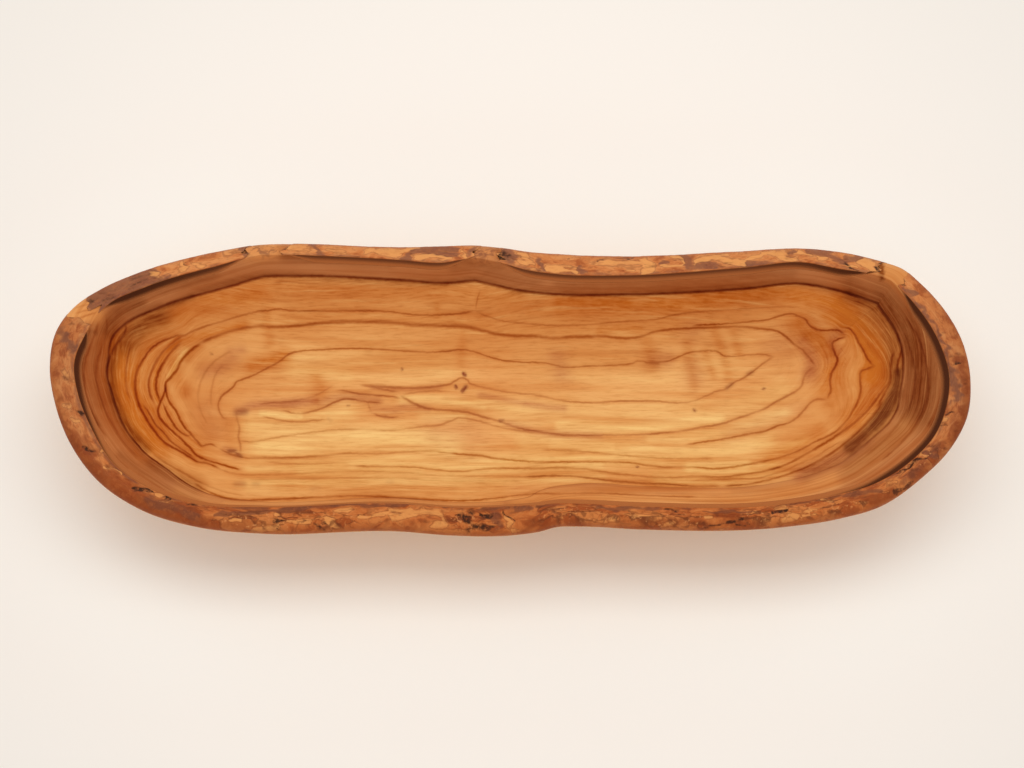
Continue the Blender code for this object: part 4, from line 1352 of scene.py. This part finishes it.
def olive_bark():
    """Old bark worn smooth: rust, tan and purple layers, yellow wood where rubbed through, dark pits, and
    painted shade on the cut inner edge and the front side.
    """
    nodes = Nodes("olive_bark_worn", BARK_SPECULAR)
    step, mix, tint = nodes.step, nodes.mix, nodes.tint
    spot, x, y, _ = nodes.place()
    across, cut, flakes, busy = nodes.field("bark")
    yellow, purple, black, red = nodes.field("marks")
    along, side, bare, _ = nodes.field("rim")
    lengthways = nodes.vector(along * 0.42, side, 0)
    swirl = nodes.noise(lengthways, 250, 4, 0.58, 0.9)
    mottle = nodes.noise(lengthways, 85, 3, 0.55)
    patches = nodes.noise(nodes.vector(side, along * 0.42, 0), 170, 4, 0.6, 0.6)
    grit = nodes.noise(spot, 640, 3, 0.6)
    crumbs = nodes.noise(lengthways, 900, 4, 0.65, 0.5)
    flake_spot = nodes.vector(along * 0.22 + mottle * FLAKE_BEND, swirl * FLAKE_BEND + side, 0)
    shade, border = nodes.cells(flake_spot, FLAKE_COUNT)
    flaky = step(busy, 0.05, 0.6, step(y, 0, -0.05, 0.1, 0.25), 1)
    tilt = (shade - 0.5) * flaky

    def layer(mark, low, high):
        """Where a mark lies, with a ragged edge."""
        return step(patches * 0.9 + mark * 0.6, low, high)

    # Layers of bark, and the yellow wood under them
    height = yellow * 0.3 + swirl + tilt * 0.45 + (mottle - 0.5) * 0.35
    colour = mix(step(height, 0.34, 0.5), BARK_RUST, BARK_BROWN)
    colour = mix(step(height, 0.5, 0.64, 0, 0.8), colour, BARK_TAN)
    colour = mix(step(crumbs, 0.52, 0.68, 0, 0.4), colour, BARK_LINE)
    colour = mix(step(crumbs, 0.46, 0.32, 0, 0.42), colour, BARK_TAN)
    worn_end = step(patches * 0.5 + bare, 1.15, 1.35, 0, 0.5)
    colour = mix(worn_end, colour, TAN)
    colour = mix(layer(red, 0.55, 0.95) * 0.8, colour, BARK_RED)
    inner_margin = step(across, 0.78, 0.95) * step(patches, 0.38, 0.58)
    colour = mix(inner_margin * step(y, 0, -0.05, 0.6, 0.82), colour, BARK_PURPLE)
    colour = mix(layer(purple, 0.6, 0.92) * 0.8, colour, BARK_PURPLE)
    bared = yellow * 0.62 + swirl * 0.8 + tilt * 0.45
    outline = step(bared, 0.6, 0.7) * step(bared, 0.8, 0.72)
    colour = mix(outline * 0.35, colour, BARK_LINE)
    colour = mix(step(bared, 0.7, 0.95, 0, 0.9), colour, BARK_YELLOW)
    colour = mix(step(crumbs, 0.5, 0.66, 0, 0.3), colour, BARK_BROWN)
    # Painted shade: the front side of the bark darker, less so on bared yellow wood
    shaded = step(y, -0.01, -0.06) * step(bared, 0.7, 0.95, 1, 0.45)
    colour = tint(shaded, colour, FRONT_SHADE_TINT)

    # Gaps between flakes, flecks, pits, and the darker ends and outer edge
    gaps = step(border, 0, step(patches, 0.4, 0.68, 0.02, 0.26), 1, 0) * flaky
    colour = mix(gaps * step(patches, 0.38, 0.6, 0.15, 0.8), colour, BARK_LINE)
    flecks = step(grit, 0.58, 0.7) * step(busy, 0.2, 0.7, 0.1, 0.7)
    colour = mix(flecks, colour, BARK_TAN)
    colour = mix(step(flakes, -0.15, -0.6) * 0.6, colour, BARK_LINE)
    worn = step(grit, 0.62, 0.44, 0.35, 0.95)
    colour = mix(layer(black, 0.66, 0.95) * worn, colour, BARK_BLACK)
    colour = tint(step(abs(x), 0.17, 0.198, 0, 0.8), colour, END_TINT)
    nose = step(across, 0.22, 0.03) * step(y, 0, 0.05, 0.45, 0.8)
    colour = mix(nose, colour, BARK_RED)

    # The cut inner edge: a dark band under the bark, partly the bark's dark cut and partly painted shade that
    # is wider at the ends and left out at the front, and wood below it
    streaks = nodes.noise(nodes.vector(along * 0.08, cut, 0), 90, 3, 0.6)
    at_ends = step(abs(x), 0.1, 0.165)
    far_end = y + step(x, 0.12, 0.18, 0, 0.048)
    # Painted shade: how far the dark band reaches down the cut, more at the ends and none at the front
    cut_shade_share = (at_ends * 0.33 + 0.55) * step(far_end, -0.055, 0.005)
    dark_edge = (streaks - 0.5) * 0.9 + cut
    band = step(dark_edge - cut_shade_share, -0.35, 0.3, 1, 0) * step(bare, 0.55, 0.98, 1, 0)
    cut_wood = tint(step(streaks, 0.45, 0.7, 0, 0.6), CUT_WOOD, WALL_LINE_TINT)
    cut_and_shade_colour = mix(band, cut_wood, mix(at_ends, BARK_CUT, BARK_END_CUT_AND_SHADE))
    colour = mix(step(cut, 0.02, 0.16), colour, cut_and_shade_colour)
    bump = swirl * 0.6 + grit * 0.4 - gaps * 0.5
    return nodes.finish(colour, BARK_ROUGHNESS, bump, *BARK_BUMP)


# The floor with painted light near the bowl and painted shade far from the middle, the lamp and the sky
FLOOR_SIZE = 8.0
NEAR_FLOOR_PAINTED_LIGHT = (0.972, 0.950, 0.905, 1.0)
FLOOR_COLOUR = (0.965, 0.905, 0.845, 1.0)
FAR_FLOOR_PAINTED_SHADE = (0.893, 0.842, 0.788, 1.0)
PAINTED_LIGHT_REACH = (0.085, 0.150)
NEAR_STRAIGHT = 0.130
PAINTED_SHADE_FALL_OFF = (0.16, 0.36)
KEY_PLACE = Vector((0.0, 0.26, 1.20))
KEY_SIZE = (1.40, 0.62)
KEY_POWER = 5.5
KEY_COLOUR = (1.0, 0.97, 0.92)
SKY_COLOUR = (0.99, 0.985, 0.975, 1.0)
SKY_STRENGTH = 0.72


def studio():
    """A pale floor, lighter and cooler near the bowl and darker far from the middle as painted light and
    shade, one large soft lamp from behind and above, and an even sky.
    """
    mesh = bpy.data.meshes.new("floor")
    half = FLOOR_SIZE / 2
    corners = [(-half, -half, 0), (half, -half, 0), (half, half, 0), (-half, half, 0)]
    mesh.from_pydata(corners, [], [(0, 1, 2, 3)])
    paper = Nodes("pale_paper", PAPER_SPECULAR)
    _, x, y, _ = paper.place()
    past_end = paper.math("MAXIMUM", abs(x) - NEAR_STRAIGHT, 0)
    from_bowl, from_middle = [paper.math("POWER", side * side + y * y, 0.5) for side in (past_end, x)]
    # Painted light: the floor lighter and cooler near the bowl; painted shade: darker far from the middle
    shade = paper.mix(paper.step(from_bowl, *PAINTED_LIGHT_REACH), NEAR_FLOOR_PAINTED_LIGHT, FLOOR_COLOUR)
    shade = paper.mix(paper.step(from_middle, *PAINTED_SHADE_FALL_OFF), shade, FAR_FLOOR_PAINTED_SHADE)
    mesh.materials.append(paper.finish(shade, PAPER_ROUGHNESS))
    floor = new_object("floor", mesh)

    lamp = bpy.data.lights.new("key", "AREA")
    lamp.shape = "RECTANGLE"
    lamp.size, lamp.size_y = KEY_SIZE
    lamp.energy = KEY_POWER
    lamp.color = KEY_COLOUR
    key = new_object("key", lamp)
    key.location = KEY_PLACE
    key.rotation_euler = (-KEY_PLACE).to_track_quat("-Z", "Y").to_euler()

    world = bpy.data.worlds.new("sky")
    world.use_nodes = True
    background = world.node_tree.nodes["Background"]
    background.inputs["Color"].default_value = SKY_COLOUR
    background.inputs["Strength"].default_value = SKY_STRENGTH
    bpy.context.scene.world = world


def photo_camera():
    """The photograph's camera, moved sideways and up so that the point it looks at shows where it should."""
    lens = bpy.data.cameras.new("photo_camera")
    lens.sensor_width = SENSOR
    lens.lens = FOCAL * SENSOR / PHOTO_SIZE[0]
    camera = new_object("photo_camera", lens)
    right, down = (np.array(PHOTO_SIZE) / 2 - LOOK_AT_PIXEL) * PIXEL
    camera.location = LOOK_AT + TOWARDS_CAMERA * DISTANCE + np.array((right, 0, 0)) - CAMERA_UP * down
    camera.rotation_euler = (math.pi / 2 - ELEVATION, 0, 0)
    bpy.context.scene.camera = camera


def main():
    bpy.context.scene.view_settings.view_transform = "Standard"
    photo_camera()
    studio()
    body = bowl_body(Rim(AROUND, NOSE_STEPS, RIM_STEPS), olive_wood())
    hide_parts("bowl_body")
    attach(body, "root")
    for strip in bark_strips(Rim(BARK_AROUND, BARK_NOSE_STEPS, BARK_RIM_STEPS), olive_bark()):
        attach(strip, "root")


main()
